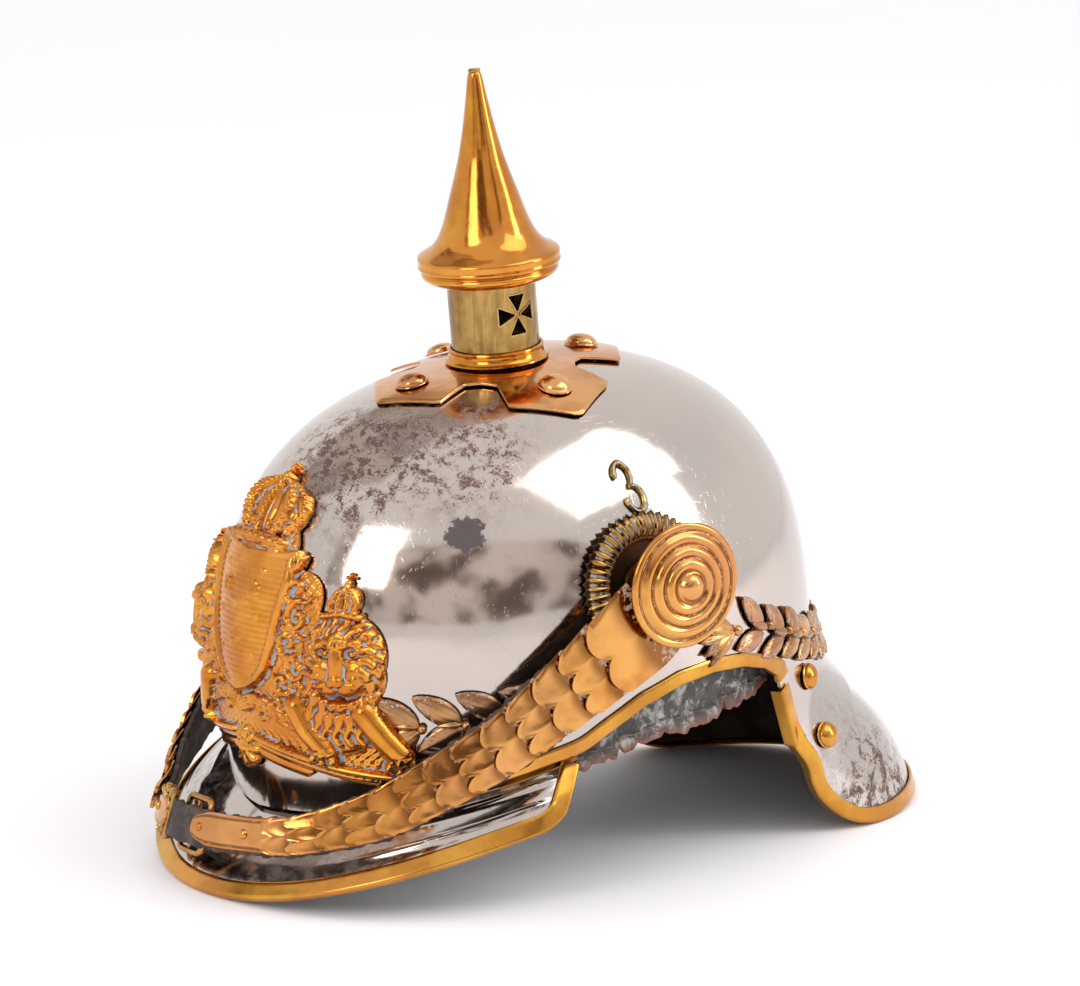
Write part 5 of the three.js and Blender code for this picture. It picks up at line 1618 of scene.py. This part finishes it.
def leaf_parts(sign, degrees, level, heading, length, width, lift=0.7, pointed=0.85):
    """A pointed leaf laid on the skull; heading is measured from straight back, turning up."""
    share, aside = np.meshgrid(np.linspace(0, 1, 15), np.linspace(-1, 1, 11), indexing="ij")
    half = np.maximum(width / 2 * np.sin(np.pi * share**pointed) ** 0.7, 0.12)
    c, s = math.cos(math.radians(heading)), math.sin(math.radians(heading))
    back = share * length * c - aside * half * s
    up = share * length * s + aside * half * c
    here = skull_point(math.radians(degrees), level)
    per_degree = np.linalg.norm(skull_point(math.radians(degrees + 1), level) - here)
    per_level = np.linalg.norm(skull_point(math.radians(degrees), level + 1) - here)
    turned, levels = degrees + back / per_degree, level + up / per_level
    turned = to_side(turned, sign)
    rib = np.exp(-((aside / 0.13) ** 2))
    veins = np.clip(np.cos((share * 9 - np.abs(aside) * 1.8) * 2 * np.pi), 0,
                    1) ** 4 * (np.abs(aside) < 0.82)
    body = np.sqrt(np.clip(1 - aside**2, 0, 1)) * np.sin(np.pi * np.clip(share, 0.04, 0.96)) ** 0.5
    height = lift + 0.45 + 1.25 * body + 0.25 * rib - 0.22 * veins * body
    recess = np.clip(0.9 * veins * (1 - rib) + 0.5 * (np.abs(aside) > 0.9), 0, 1)
    outer, inner = on_skull(turned, levels, height), on_skull(turned, levels, lift + 0 * height)
    points, front, behind, rim = sheet_parts(outer, inner)
    faces = outward(points, front + behind + rim)
    return points, faces, np.concatenate([recess.ravel(), np.zeros(recess.size)])


def berry_parts(sign, degrees, level, radius):
    """A small berry sitting on the skull."""
    profile = [(0, 0), (radius, 0), (radius, 0.7)] + head_outline(radius, 0.7, radius, 0.2, 6)
    points, faces = turned_parts(profile, 16)
    turned = to_side(degrees, sign)
    place, normal = on_skull(turned, level, 0.9), skull_normal(math.radians(turned), level)
    return stand(points, place, normal), faces, np.zeros(len(points))


def stem(levels, degrees):
    """A stem's level at so many degrees, and the heading of a leaf that points forward along it."""
    level = along(levels, degrees)
    slope = math.degrees(math.atan2(along(levels, degrees + 3) - level, 3 * 1.75))
    return level, 180 + slope


def leafy(name, parts, finish, **words):
    """Leaves and berries joined into one piece."""
    points, faces = joined([(p, f) for p, f, _ in parts])
    make_piece(name, points, faces, finish, recess=np.concatenate([r for _, _, r in parts]),
               slot="old_brass", sharp=60, **words)


def build_wreaths():
    chance = random.Random(SEED + 1)
    for side, sign in SIDES:
        rear = []
        for k, heading in enumerate(FAN_HEADINGS):
            rear.append(leaf_parts(sign, 18.5, 14.5, heading, 16.5, 5.2, lift=0.9 + 0.2 * (k % 2)))
        rear.append(berry_parts(sign, 19.3, 14.5, 1.9))
        for degrees in np.arange(*REAR_STEM):
            level, forward = stem(WREATH_LEVEL, degrees)
            for spread, reach in ((27, 16.5), (-27, 15.5)):
                heading = forward - spread + chance.uniform(-5, 5)
                shift = 1.2 if spread > 0 else -1.2
                rear.append(leaf_parts(sign, degrees + 2.2, level + shift, heading, reach, 7.4,
                                       lift=0.8 + 0.25 * (spread > 0)))
            rear.append(leaf_parts(sign, degrees + 3.6, level, forward, 10, 3.4, lift=1.3))
            rear.append(berry_parts(sign, degrees + 4.4, level + 0.3, 1.7))
        leafy(f"wreath_leaves_{side}", rear, FINISH["wreath"], replaces=f"wreath_{side}")
        front = []
        for degrees in np.arange(*FRONT_STEM):
            level, forward = stem(FRONT_SPRIG_LEVEL, degrees)
            for spread, reach in ((30, 20), (-24, 18), (4, 9)):
                heading = forward - spread + chance.uniform(-4, 4)
                wide = 8.8 if reach > 10 else 3.4
                front.append(leaf_parts(sign, degrees, level + math.copysign(0.8, spread), heading, reach,
                                        wide, lift=0.8))
            front.append(berry_parts(sign, degrees + 0.5, level, 1.7))
        leafy(f"wreath_front_{side}", front, FINISH["dark_wreath"])
    middle = along(WREATH_LEVEL, 90)
    knot = [leaf_parts(1, 90, middle - 12 + 5 * k, 90, 15, 8 - k, lift=0.8 + 0.5 * k) for k in range(4)]
    knot += [leaf_parts(1, 90 + 2.2 * s, middle + 1, 90 - 28 * s, 13, 6, lift=1.0) for s in (-1, 1)]
    leafy("wreath_back_leaf", knot, FINISH["wreath"], replaces="wreath_knot")


# ---------------------------------------------------------------- lining
LINING_EDGE = [(-90, -24), (-40, -23), (-18, -24), (0, -19), (20, -16), (34, -14), (60, -14), (90, -14)]
LINING = {"clear": 7.0, "wall": 2.2, "top": 46.0}
STITCH = {"gap": 3.1, "above_edge": 5.2, "thread": 0.38}


def ripple(values, wavelengths, seed):
    """Smooth seeded unevenness along a line that closes on itself after 360."""
    chance = random.Random(seed)
    total = 0
    for wavelength, size in wavelengths:
        count = round(360 / wavelength)
        total = total + size * np.sin(np.radians(values * count) + chance.uniform(0, 6.28))
    return total


def build_lining():
    columns = np.arange(0, 360, 0.9)
    torn = ripple(columns, ((47, 1.2), (19, 0.8), (7.3, 0.6), (3.1, 0.5), (2.1, 0.4)), SEED)
    nicks = -np.clip(ripple(columns, ((5.3, 1.0), (2.9, 1.0), (8.1, 1.0)), SEED + 4) - 1.9, 0, 1) * 7
    low = along(LINING_EDGE, fold(columns)) + np.maximum(torn, -1.5) - nicks
    shares = np.linspace(0, 1, 26) ** 1.4
    level = low[None, :] + (LINING["top"] - low[None, :]) * shares[:, None]
    turned = columns[None, :] + 0 * level
    swell = ripple(turned + 9 * np.sin(level / 9), ((23, 0.5), (9, 0.35), (4.1, 0.2)), SEED + 2)
    swell = swell + 0.9 * np.exp(-(((level - low[None, :]) / 2.2) ** 2))
    flesh = np.exp(-(((level - low[None, :]) / 1.9) ** 2))

    def band(offset, uneven):
        flat = on_skull(turned, np.maximum(level, 0), offset + uneven)
        flat[..., 2] = np.minimum(level, flat[..., 2])
        return flat

    outer = -SKULL_WALL - LINING["clear"]
    sheet("leather_lining", band(outer, swell), band(outer - LINING["wall"], 0.6 * swell), FINISH["lining"],
          wrap=True,
          recess=flesh, replaces="lining", slot="lining_leather", sharp=70)
    stitches = []
    for place in np.arange(0, 360, STITCH["gap"]):
        seam = float(np.interp(place, columns, low)) + STITCH["above_edge"]
        ends = [(place, seam, 0.2), (place + 0.35, seam, 1.0), (place + 1.4, seam, 1.0),
                (place + 1.75, seam, 0.2)]
        line = np.array([on_skull(a, max(z, 0), outer + h) - np.array([0, 0, max(-z, 0)]) for a, z,
                         h in ends])
        run = unit(np.gradient(line, axis=0))
        out = skull_normal(np.radians(place), 0.0)
        side = unit(np.cross(run, out))
        ring = [line + STITCH["thread"] * (math.cos(a) * side + math.sin(a) * np.cross(side, run))
                for a in np.linspace(0, 5.24, 6)]
        stitches.append(swept_parts(np.stack(ring, 1)))
    make_piece("lining_stitches", *joined(stitches), FINISH["thread"], slot="lining_leather")


# ---------------------------------------------------------------- chin strap
STRAP_WALL = 1.8
STRAP_SIDE = [
    (95.4, 6, 43.2), (94.6, -4, 33.5), (92.2, -27, 19.5), (89.3, -41.7, 10.8), (83.1, -62.9, -2.9),
    (72.8, -86, -14.9), (63.6, -100.7, -22.6), (51.7, -114.5, -27.4), (40, -124.3, -30.6),
]
STRAP_FRONT = [(22, -132.6, -32), (2, -137, -33.2), (-18, -137.4, -33.6), (-34, -131.5, -33.4)]
SCALE_HALF_WIDTH = [(10, 17), (22, 17), (48, 13.6), (75, 10.6), (105, 9.6), (130, 8.6), (155, 7), (180, 6),
                    (240, 6)]
SCALES = {"count": 13, "start": 16.0, "first_length": 26.0, "first_pitch": 12.4, "last_pitch": 9.9,
          "lap": 3.2, "cusp": 4.3,
          "wall": 0.8, "rise": 1.9, "play": 0.4}


def smooth_line(keys, steps=60):
    """A curve through the key points, with knots spaced by the root of their distance."""
    keys = np.array(keys, float)
    padded = np.concatenate([[2 * keys[0] - keys[1]], keys, [2 * keys[-1] - keys[-2]]])
    out = []
    for p0, p1, p2, p3 in zip(padded, padded[1:], padded[2:], padded[3:]):
        d0, d1, d2 = (np.linalg.norm(b - a) ** 0.5 for a, b in ((p0, p1), (p1, p2), (p2, p3)))
        m1 = ((p1 - p0) / d0 - (p2 - p0) / (d0 + d1) + (p2 - p1) / d1) * d1
        m2 = ((p2 - p1) / d1 - (p3 - p1) / (d1 + d2) + (p3 - p2) / d2) * d1
        t = np.linspace(0, 1, steps, endpoint=False)[:, None]
        out.append(p1 * (2 * t**3 - 3 * t**2 + 1) + m1 * (t**3 - 2 * t**2 + t) + p2 * (3 * t**2 - 2 * t**3)
                   + m2 * (t**3 - t**2))
    return np.concatenate(out + [keys[-1:]])


STRAP_LINE = smooth_line(STRAP_SIDE + STRAP_FRONT + [(-x, y, z) for x, y, z in STRAP_SIDE[::-1]])
STRAP_AT = np.concatenate([[0], np.cumsum(np.linalg.norm(np.diff(STRAP_LINE, axis=0), axis=1))])
STRAP_LENGTH = float(STRAP_AT[-1])


def strap_place(s):
    return np.stack([np.interp(s, STRAP_AT, STRAP_LINE[:, k]) for k in range(3)], -1)


def strap_frame(s):
    s = np.asarray(s, float)
    point = strap_place(s)
    run = unit(strap_place(np.minimum(s + 1, STRAP_LENGTH)) - strap_place(np.maximum(s - 1, 0)))
    lean = 0.45 * (np.minimum(s, STRAP_LENGTH - s) / (STRAP_LENGTH / 2)) ** 2
    out = unit(np.stack([point[..., 0] / HALF_WIDTH**2, point[..., 1] / HALF_LENGTH**2, 0 * s], -1))
    out[..., 2] = lean
    out = unit(out - run * np.sum(out * run, -1, keepdims=True))
    return point, run, out, np.cross(run, out)


def off_strap(s, across, out):
    s, across, out = np.broadcast_arrays(*(np.asarray(value, float) for value in (s, across, out)))
    point, _, outward_way, aside = strap_frame(s)
    return point + aside * across[..., None] + outward_way * out[..., None]


def off_side(side, s, across, out):
    """Off the strap, measured from the left rosette (side 1) or from the right one (side -1)."""
    return off_strap(s if side > 0 else STRAP_LENGTH - s, side * np.asarray(across), out)


def scale_half_width(s):
    return along(SCALE_HALF_WIDTH, np.minimum(s, STRAP_LENGTH - s))


def scale_ends():
    ends = [SCALES["start"] + SCALES["first_length"]]
    for i in range(1, SCALES["count"]):
        share = (i - 1) / (SCALES["count"] - 2)
        ends.append(ends[-1] + SCALES["first_pitch"] + (SCALES["last_pitch"] - SCALES["first_pitch"])
                    * share)
    return ends


def scale_grids(side, start, end, lobes):
    across, share = np.meshgrid(np.linspace(-1, 1, 12 * lobes + 1), np.linspace(0, 1, 17))
    wave = np.abs(np.sin((across + 1) / 2 * np.pi * lobes))
    tip_line = end - (1 - wave**0.7) * SCALES["cusp"]
    s = start + (tip_line - start) * share
    near_tip = np.clip((share - 0.55) / 0.45, 0, 1)
    swell = 0.95 * near_tip * (wave**0.7 - 0.40) * np.sqrt(np.clip(1.02 - share**10, 0, 1))
    edge = 0.35 * np.exp(-(((1 - share) / 0.055) ** 2))
    side_roll = -0.35 * np.clip((np.abs(across) - 0.9) / 0.1, 0, 1) ** 2
    height = SCALES["rise"] * share + 0.5 * (1 - across**2) + swell + edge * 0.8 + side_roll
    fans = np.clip(np.cos(np.pi * (across + 1) / 2 * lobes * 2), 0, 1) ** 12 * near_tip
    # The scale's covered start, under the tips of the one before, and the notches between its lobes:
    # darkened as painted shade by the finish.
    recess = np.maximum(np.exp(-((share / 0.46) ** 2)), 0.3 * fans)
    half = scale_half_width(s)
    outer = off_side(side, s, across * half, SCALES["play"] + SCALES["wall"] + height)
    inner = off_side(side, s, across * half, SCALES["play"] + SCALES["rise"] * share + 0.5 * (1 - across**2)
                     + 0.8 * swell)
    return outer, inner, recess


def build_scales():
    ends = scale_ends()
    for side, sign in SIDES:
        for i, end in enumerate(ends):
            start = SCALES["start"] if i == 0 else ends[i - 1] - SCALES["cusp"] - 0.9
            outer, inner, recess = scale_grids(sign, start, end, 2 if i % 2 == 0 else 3)
            sheet(f"strap_scale_{side}_{i + 1:02d}", outer, inner, FINISH["scale"], recess=recess,
                  replaces=f"scale_{side}_{i + 1:02d}", slot="brass", sharp=60)


def build_strap_leather():
    s = np.arange(2, STRAP_LENGTH - 2, 1.5)
    turn = s / STRAP_LENGTH * 360
    half = np.minimum(scale_half_width(s), 11.5)
    upper = half + 0.9 + ripple(turn, ((9, 0.35), (3.7, 0.3), (1.9, 0.22)), SEED + 5)
    lower = half + 0.2 + ripple(turn, ((7, 0.3), (3.1, 0.25), (1.7, 0.2)), SEED + 6)
    sag = ripple(turn, ((30, 0.3), (11, 0.2)), SEED + 7)
    ring = []
    for side, out in ((1, -0.2), (0.96, 0.1), (0.5, 0.15), (0, 0.15), (-0.5, 0.15), (-0.96, 0.1),
                      (-1, -0.2), (-1, -1.5),
                      (-0.9, -STRAP_WALL - 0.1), (0, -STRAP_WALL), (0.9, -STRAP_WALL - 0.1), (1, -1.5)):
        width = np.where(side > 0, lower, upper)
        ring.append(off_strap(s, side * width, out + 0.3 * np.minimum(sag, 0)))
    make_piece("strap_leather", *swept_parts(np.stack(ring, 1)), FINISH["strap"], replaces="chin_strap",
               slot="strap_leather", sharp=55)


def plate_sheet(name, start, end, node, round_share=0.3):
    across, share = np.meshgrid(np.linspace(-1, 1, 21), np.linspace(0, 1, 40) ** 0.8)
    past = np.clip((share - (1 - round_share)) / round_share, 0, 1)
    s = start + (end - start) * share
    half = scale_half_width(s) * np.sqrt(1 - 0.9 * past**2)
    rim = np.maximum(np.clip((np.abs(across) - 0.8) / 0.2, 0, 1), np.clip((share - 0.95) / 0.05, 0, 1))
    height = 0.4 * (1 - across**2) + 0.3 * np.sin(np.pi * rim) - 0.3 * rim**3
    outer = off_strap(s, across * half, 1.2 + height)
    inner = off_strap(s, across * half, 0.4 + 0.4 * (1 - across**2))
    recess = np.clip(np.exp(-(((np.abs(across) - 0.76) / 0.07) ** 2)), 0, 1)
    sheet(name, outer, inner, FINISH["scale"], recess=recess, replaces=node, slot="brass", sharp=60)


def small_stud(name, s, across, out, radius, height, way=1):
    profile = [(0, 0), (radius, 0), (radius, 0.35)] + head_outline(radius * 0.94, 0.4, height, 0.1, 8)
    points, faces = turned_parts(profile, 28)
    _, _, outward_way, _ = strap_frame(s)
    make_piece(name, stand(points, off_strap(s, across, out), outward_way * way), faces, FINISH["brass"],
               slot="brass")


def open_bar(path, normals, wide, deep):
    """A rounded bar whose two ends don't meet."""
    run = unit(np.gradient(path, axis=0))
    side = unit(np.cross(run, normals))
    return swept_parts(round_bar(path, side, np.cross(side, run), wide, deep))


def strap_loop(s_middle, half_long, half_wide, out, wide, deep, corner=2.2):
    """A rectangular wire loop lying along the strap, as one closed bar."""
    corners = [(half_long, half_wide), (-half_long, half_wide), (-half_long, -half_wide),
               (half_long, -half_wide)]
    flat = []
    for i, (x, y) in enumerate(corners):
        start = math.radians(90 * i)
        for a in np.linspace(start, start + math.pi / 2, 6):
            flat.append((x - math.copysign(corner, x) + corner * math.cos(a),
                         y - math.copysign(corner, y) + corner * math.sin(a)))
    flat = spaced(flat + flat[:1], 0.9)[:-1]
    path = off_strap(s_middle + flat[:, 0], flat[:, 1], out + 0 * flat[:, 0])
    run = unit(np.roll(path, -1, 0) - np.roll(path, 1, 0))
    _, _, normal, _ = strap_frame(s_middle + flat[:, 0])
    side = unit(np.cross(run, normal))
    return swept_parts(round_bar(path, side, normal, wide, deep), closed=True)


BUCKLE = {"gap": 29, "half_long": 8.5, "half_wide": 10.5, "under": 2.6}


def build_strap_fittings():
    last = scale_ends()[-1]
    plate_sheet("strap_tongue_plate", last - SCALES["lap"], last + 35, "tongue_plate")
    plate_start = STRAP_LENGTH - last + SCALES["lap"] / 2
    plate_sheet("strap_buckle_plate", plate_start, plate_start - 17, "buckle_plate")
    small_stud("tongue_stud", last + 8, 0, 1.4, 1.8, 1.0)
    small_stud("tongue_end_stud", last + 30, 0, 1.4, 1.5, 0.8)
    small_stud("buckle_plate_stud", plate_start - 6, 0, 1.4, 1.8, 1.0)

    buckle_s, half_long, half_wide = plate_start - BUCKLE["gap"], BUCKLE["half_long"], BUCKLE["half_wide"]
    out = -STRAP_WALL - BUCKLE["under"]
    frame_loop = strap_loop(buckle_s, half_long - 1.2, half_wide - 1.2, out, 1.25, 1.1)
    bar_at = np.linspace(-half_wide + 1, half_wide - 1, 12)
    bar_path = off_strap(buckle_s + 0 * bar_at, bar_at, out + 0 * bar_at)
    _, _, normal, _ = strap_frame(buckle_s + 0 * bar_at)
    centre_bar = open_bar(bar_path, normal, 0.8, 0.8)
    reach = np.linspace(-0.5, half_long + 0.2, 14)
    prong_path = off_strap(buckle_s + reach, 0 * reach, out + 0.9 + 0.5 * np.sin(reach / half_long * 3))
    _, _, normal, _ = strap_frame(buckle_s + reach)
    prong = open_bar(prong_path, normal, 0.9, 0.7)
    make_piece("strap_buckle", *joined([frame_loop, centre_bar, prong]), FINISH["buckle"],
               replaces="buckle", slot="brass",
               sharp=50)
    keepers = [strap_loop(buckle_s + shift, 1.6, 8.6, -STRAP_WALL / 2, 0.6, 1.6, corner=0.8)
               for shift in (14, 21)]
    make_piece("strap_keepers", *joined(keepers), FINISH["buckle"], slot="brass")
    small_stud("strap_inner_stud", buckle_s - 16, 0, -STRAP_WALL - 0.1, 2.4, 1.6, way=-1)

    s, drop = np.meshgrid(np.linspace(buckle_s - 6, buckle_s + 9, 16), np.linspace(0, 1, 18))
    half = scale_half_width(s)
    hang = off_strap(s, half * 0.2 + 0 * s, -STRAP_WALL - 0.6) + drop[...,
                                                                      None] * np.array([0.0, 5.0, -13.0])
    swell = 1.6 * np.sin(np.pi * drop) + 0.4 * ripple(s * 12, ((40, 1.0), (13, 0.5)), SEED + 9)
    normal = strap_frame(s)[2]
    outer, inner = hang + normal * swell[..., None], hang + normal * (swell - 1.6)[..., None]
    sheet("strap_flap", outer, inner, FINISH["strap"], slot="strap_leather", sharp=55)


# ---------------------------------------------------------------- floor, light and camera
def build_floor():
    size = 6.0
    mesh = bpy.data.meshes.new("pale floor")
    mesh.from_pydata([(-size, -size, 0), (size, -size, 0), (size, size, 0), (-size, size, 0)], [],
                     [(0, 1, 2, 3)])
    floor = bpy.data.objects.new("pale_floor", mesh)
    bpy.context.scene.collection.objects.link(floor)
    material, web, shader = new_finish("pale paper")
    web.feed(shader.inputs["Base Color"], web.blend(web.noise(3.0, 2), (0.955, 0.95, 0.96),
                                                    (0.97, 0.965, 0.975)))
    shader.inputs["Roughness"].default_value = 0.6
    mesh.materials.append(material)


def aimed(thing, place, aim, axis="-Z"):
    """Stands a lamp, card or camera at a place, with that axis of it towards aim."""
    thing.location = place
    thing.rotation_mode = "QUATERNION"
    thing.rotation_quaternion = (Vector(aim) - Vector(place)).to_track_quat(axis, "Y")
    bpy.context.scene.collection.objects.link(thing)


def soft_light(name, place, aim, width, height, power, tint):
    data = bpy.data.lights.new(name, "AREA")
    data.shape, data.size, data.size_y, data.energy, data.color = "RECTANGLE", width, height, power, tint
    lamp = bpy.data.objects.new(name, data)
    aimed(lamp, place, aim)
    lamp.visible_camera = False


def dark_card(name, place, aim, width, height, shade, light, patches):
    """A mottled card that only reflections see, which gives polished metal a room to mirror."""
    mesh = bpy.data.meshes.new(name)
    w, h = width / 2, height / 2
    mesh.from_pydata([(-w, -h, 0), (w, -h, 0), (w, h, 0), (-w, h, 0)], [], [(0, 1, 2, 3)])
    card = bpy.data.objects.new(name, mesh)
    aimed(card, place, aim, "Z")
    material, web, shader = new_finish(f"{name} paint")
    cloud = web.noise(patches, 5, 0.55, 0.3)
    web.feed(shader.inputs["Base Color"], web.blend(web.ramp(cloud, 0.43, 0.54), shade, light))
    shader.inputs["Roughness"].default_value = 0.9
    mesh.materials.append(material)
    card.visible_camera = card.visible_diffuse = card.visible_shadow = False


VIEW = {"azimuth": math.radians(56.33), "elevation": math.radians(14.0), "distance": 2000.0,
        "aside": 7.4, "above": 54.8, "lens": 186.7}


def view_axes():
    a, e = VIEW["azimuth"], VIEW["elevation"]
    back = Vector((math.sin(a) * math.cos(e), -math.cos(a) * math.cos(e), math.sin(e)))
    right = Vector((math.cos(a), math.sin(a), 0))
    return back, right, back.cross(right)


def build_lights():
    scene = bpy.context.scene
    world = bpy.data.worlds.new("studio")
    world.use_nodes = True
    scene.world = world
    background = world.node_tree.nodes["Background"]
    background.inputs["Color"].default_value = (0.96, 0.955, 0.96, 1)
    background.inputs["Strength"].default_value = 1.05
    back, right, _ = view_axes()
    front = Vector((back.x, back.y, 0)).normalized()
    aim = (0, 0, 0.12)
    soft_light("overhead softbox", (0.9, 0.75, 1.6), aim, 1.5, 1.1, 11, (1, 0.97, 0.94))
    soft_light("near softbox", tuple(front * 1.3 - right * 1.0 + Vector((0, 0, 1.0))), aim, 0.7, 0.9, 9,
               (1, 0.96, 0.92))
    soft_light("window light", tuple(right * 1.8 + front * 0.2 + Vector((0, 0, 0.8))), aim, 0.4, 1.1, 9,
               (0.96, 0.98, 1))
    dark_card("room wall", tuple(front * 1.9 + Vector((0, 0, 0.72))), aim, 4.2, 1.15, (0.38, 0.32, 0.29),
              (0.86, 0.82, 0.79), 1.7)
    dark_card("room ceiling", tuple(-front * 0.9 - right * 0.9 + Vector((0, 0, 1.9))), aim, 2.2, 1.6,
              (0.56, 0.51, 0.48), (0.76, 0.72, 0.69), 1.4)
    dark_card("room corner", tuple(front * 1.5 - right * 1.7 + Vector((0, 0, 1.3))), aim, 0.9, 1.3,
              (0.52, 0.47, 0.44), (0.78, 0.74, 0.71), 2.2)


def build_camera():
    bpy.context.scene.view_settings.view_transform = "Standard"
    back, right, up = view_axes()
    start = Vector(tip((0, 0, 0)))
    aim = start + (right * VIEW["aside"] + up * VIEW["above"]) * MM
    data = bpy.data.cameras.new("product view")
    data.lens, data.sensor_width = VIEW["lens"], 36.0
    camera = bpy.data.objects.new("product view", data)
    aimed(camera, start + back * VIEW["distance"] * MM, aim)
    bpy.context.scene.camera = camera


# ---------------------------------------------------------------- assembly
for build in (
    build_skull, build_neck_guard, build_visor, build_visor_trim, build_guard_trim, build_ear_trims,
    build_base_plate, build_studs, build_rivets, build_column, build_collar, build_spike,
    build_rosettes, build_cockades, build_scrolls, build_front_plate, build_wreaths,
    build_lining, build_scales, build_strap_leather, build_strap_fittings,
    build_floor, build_lights, build_camera,
):
    build()
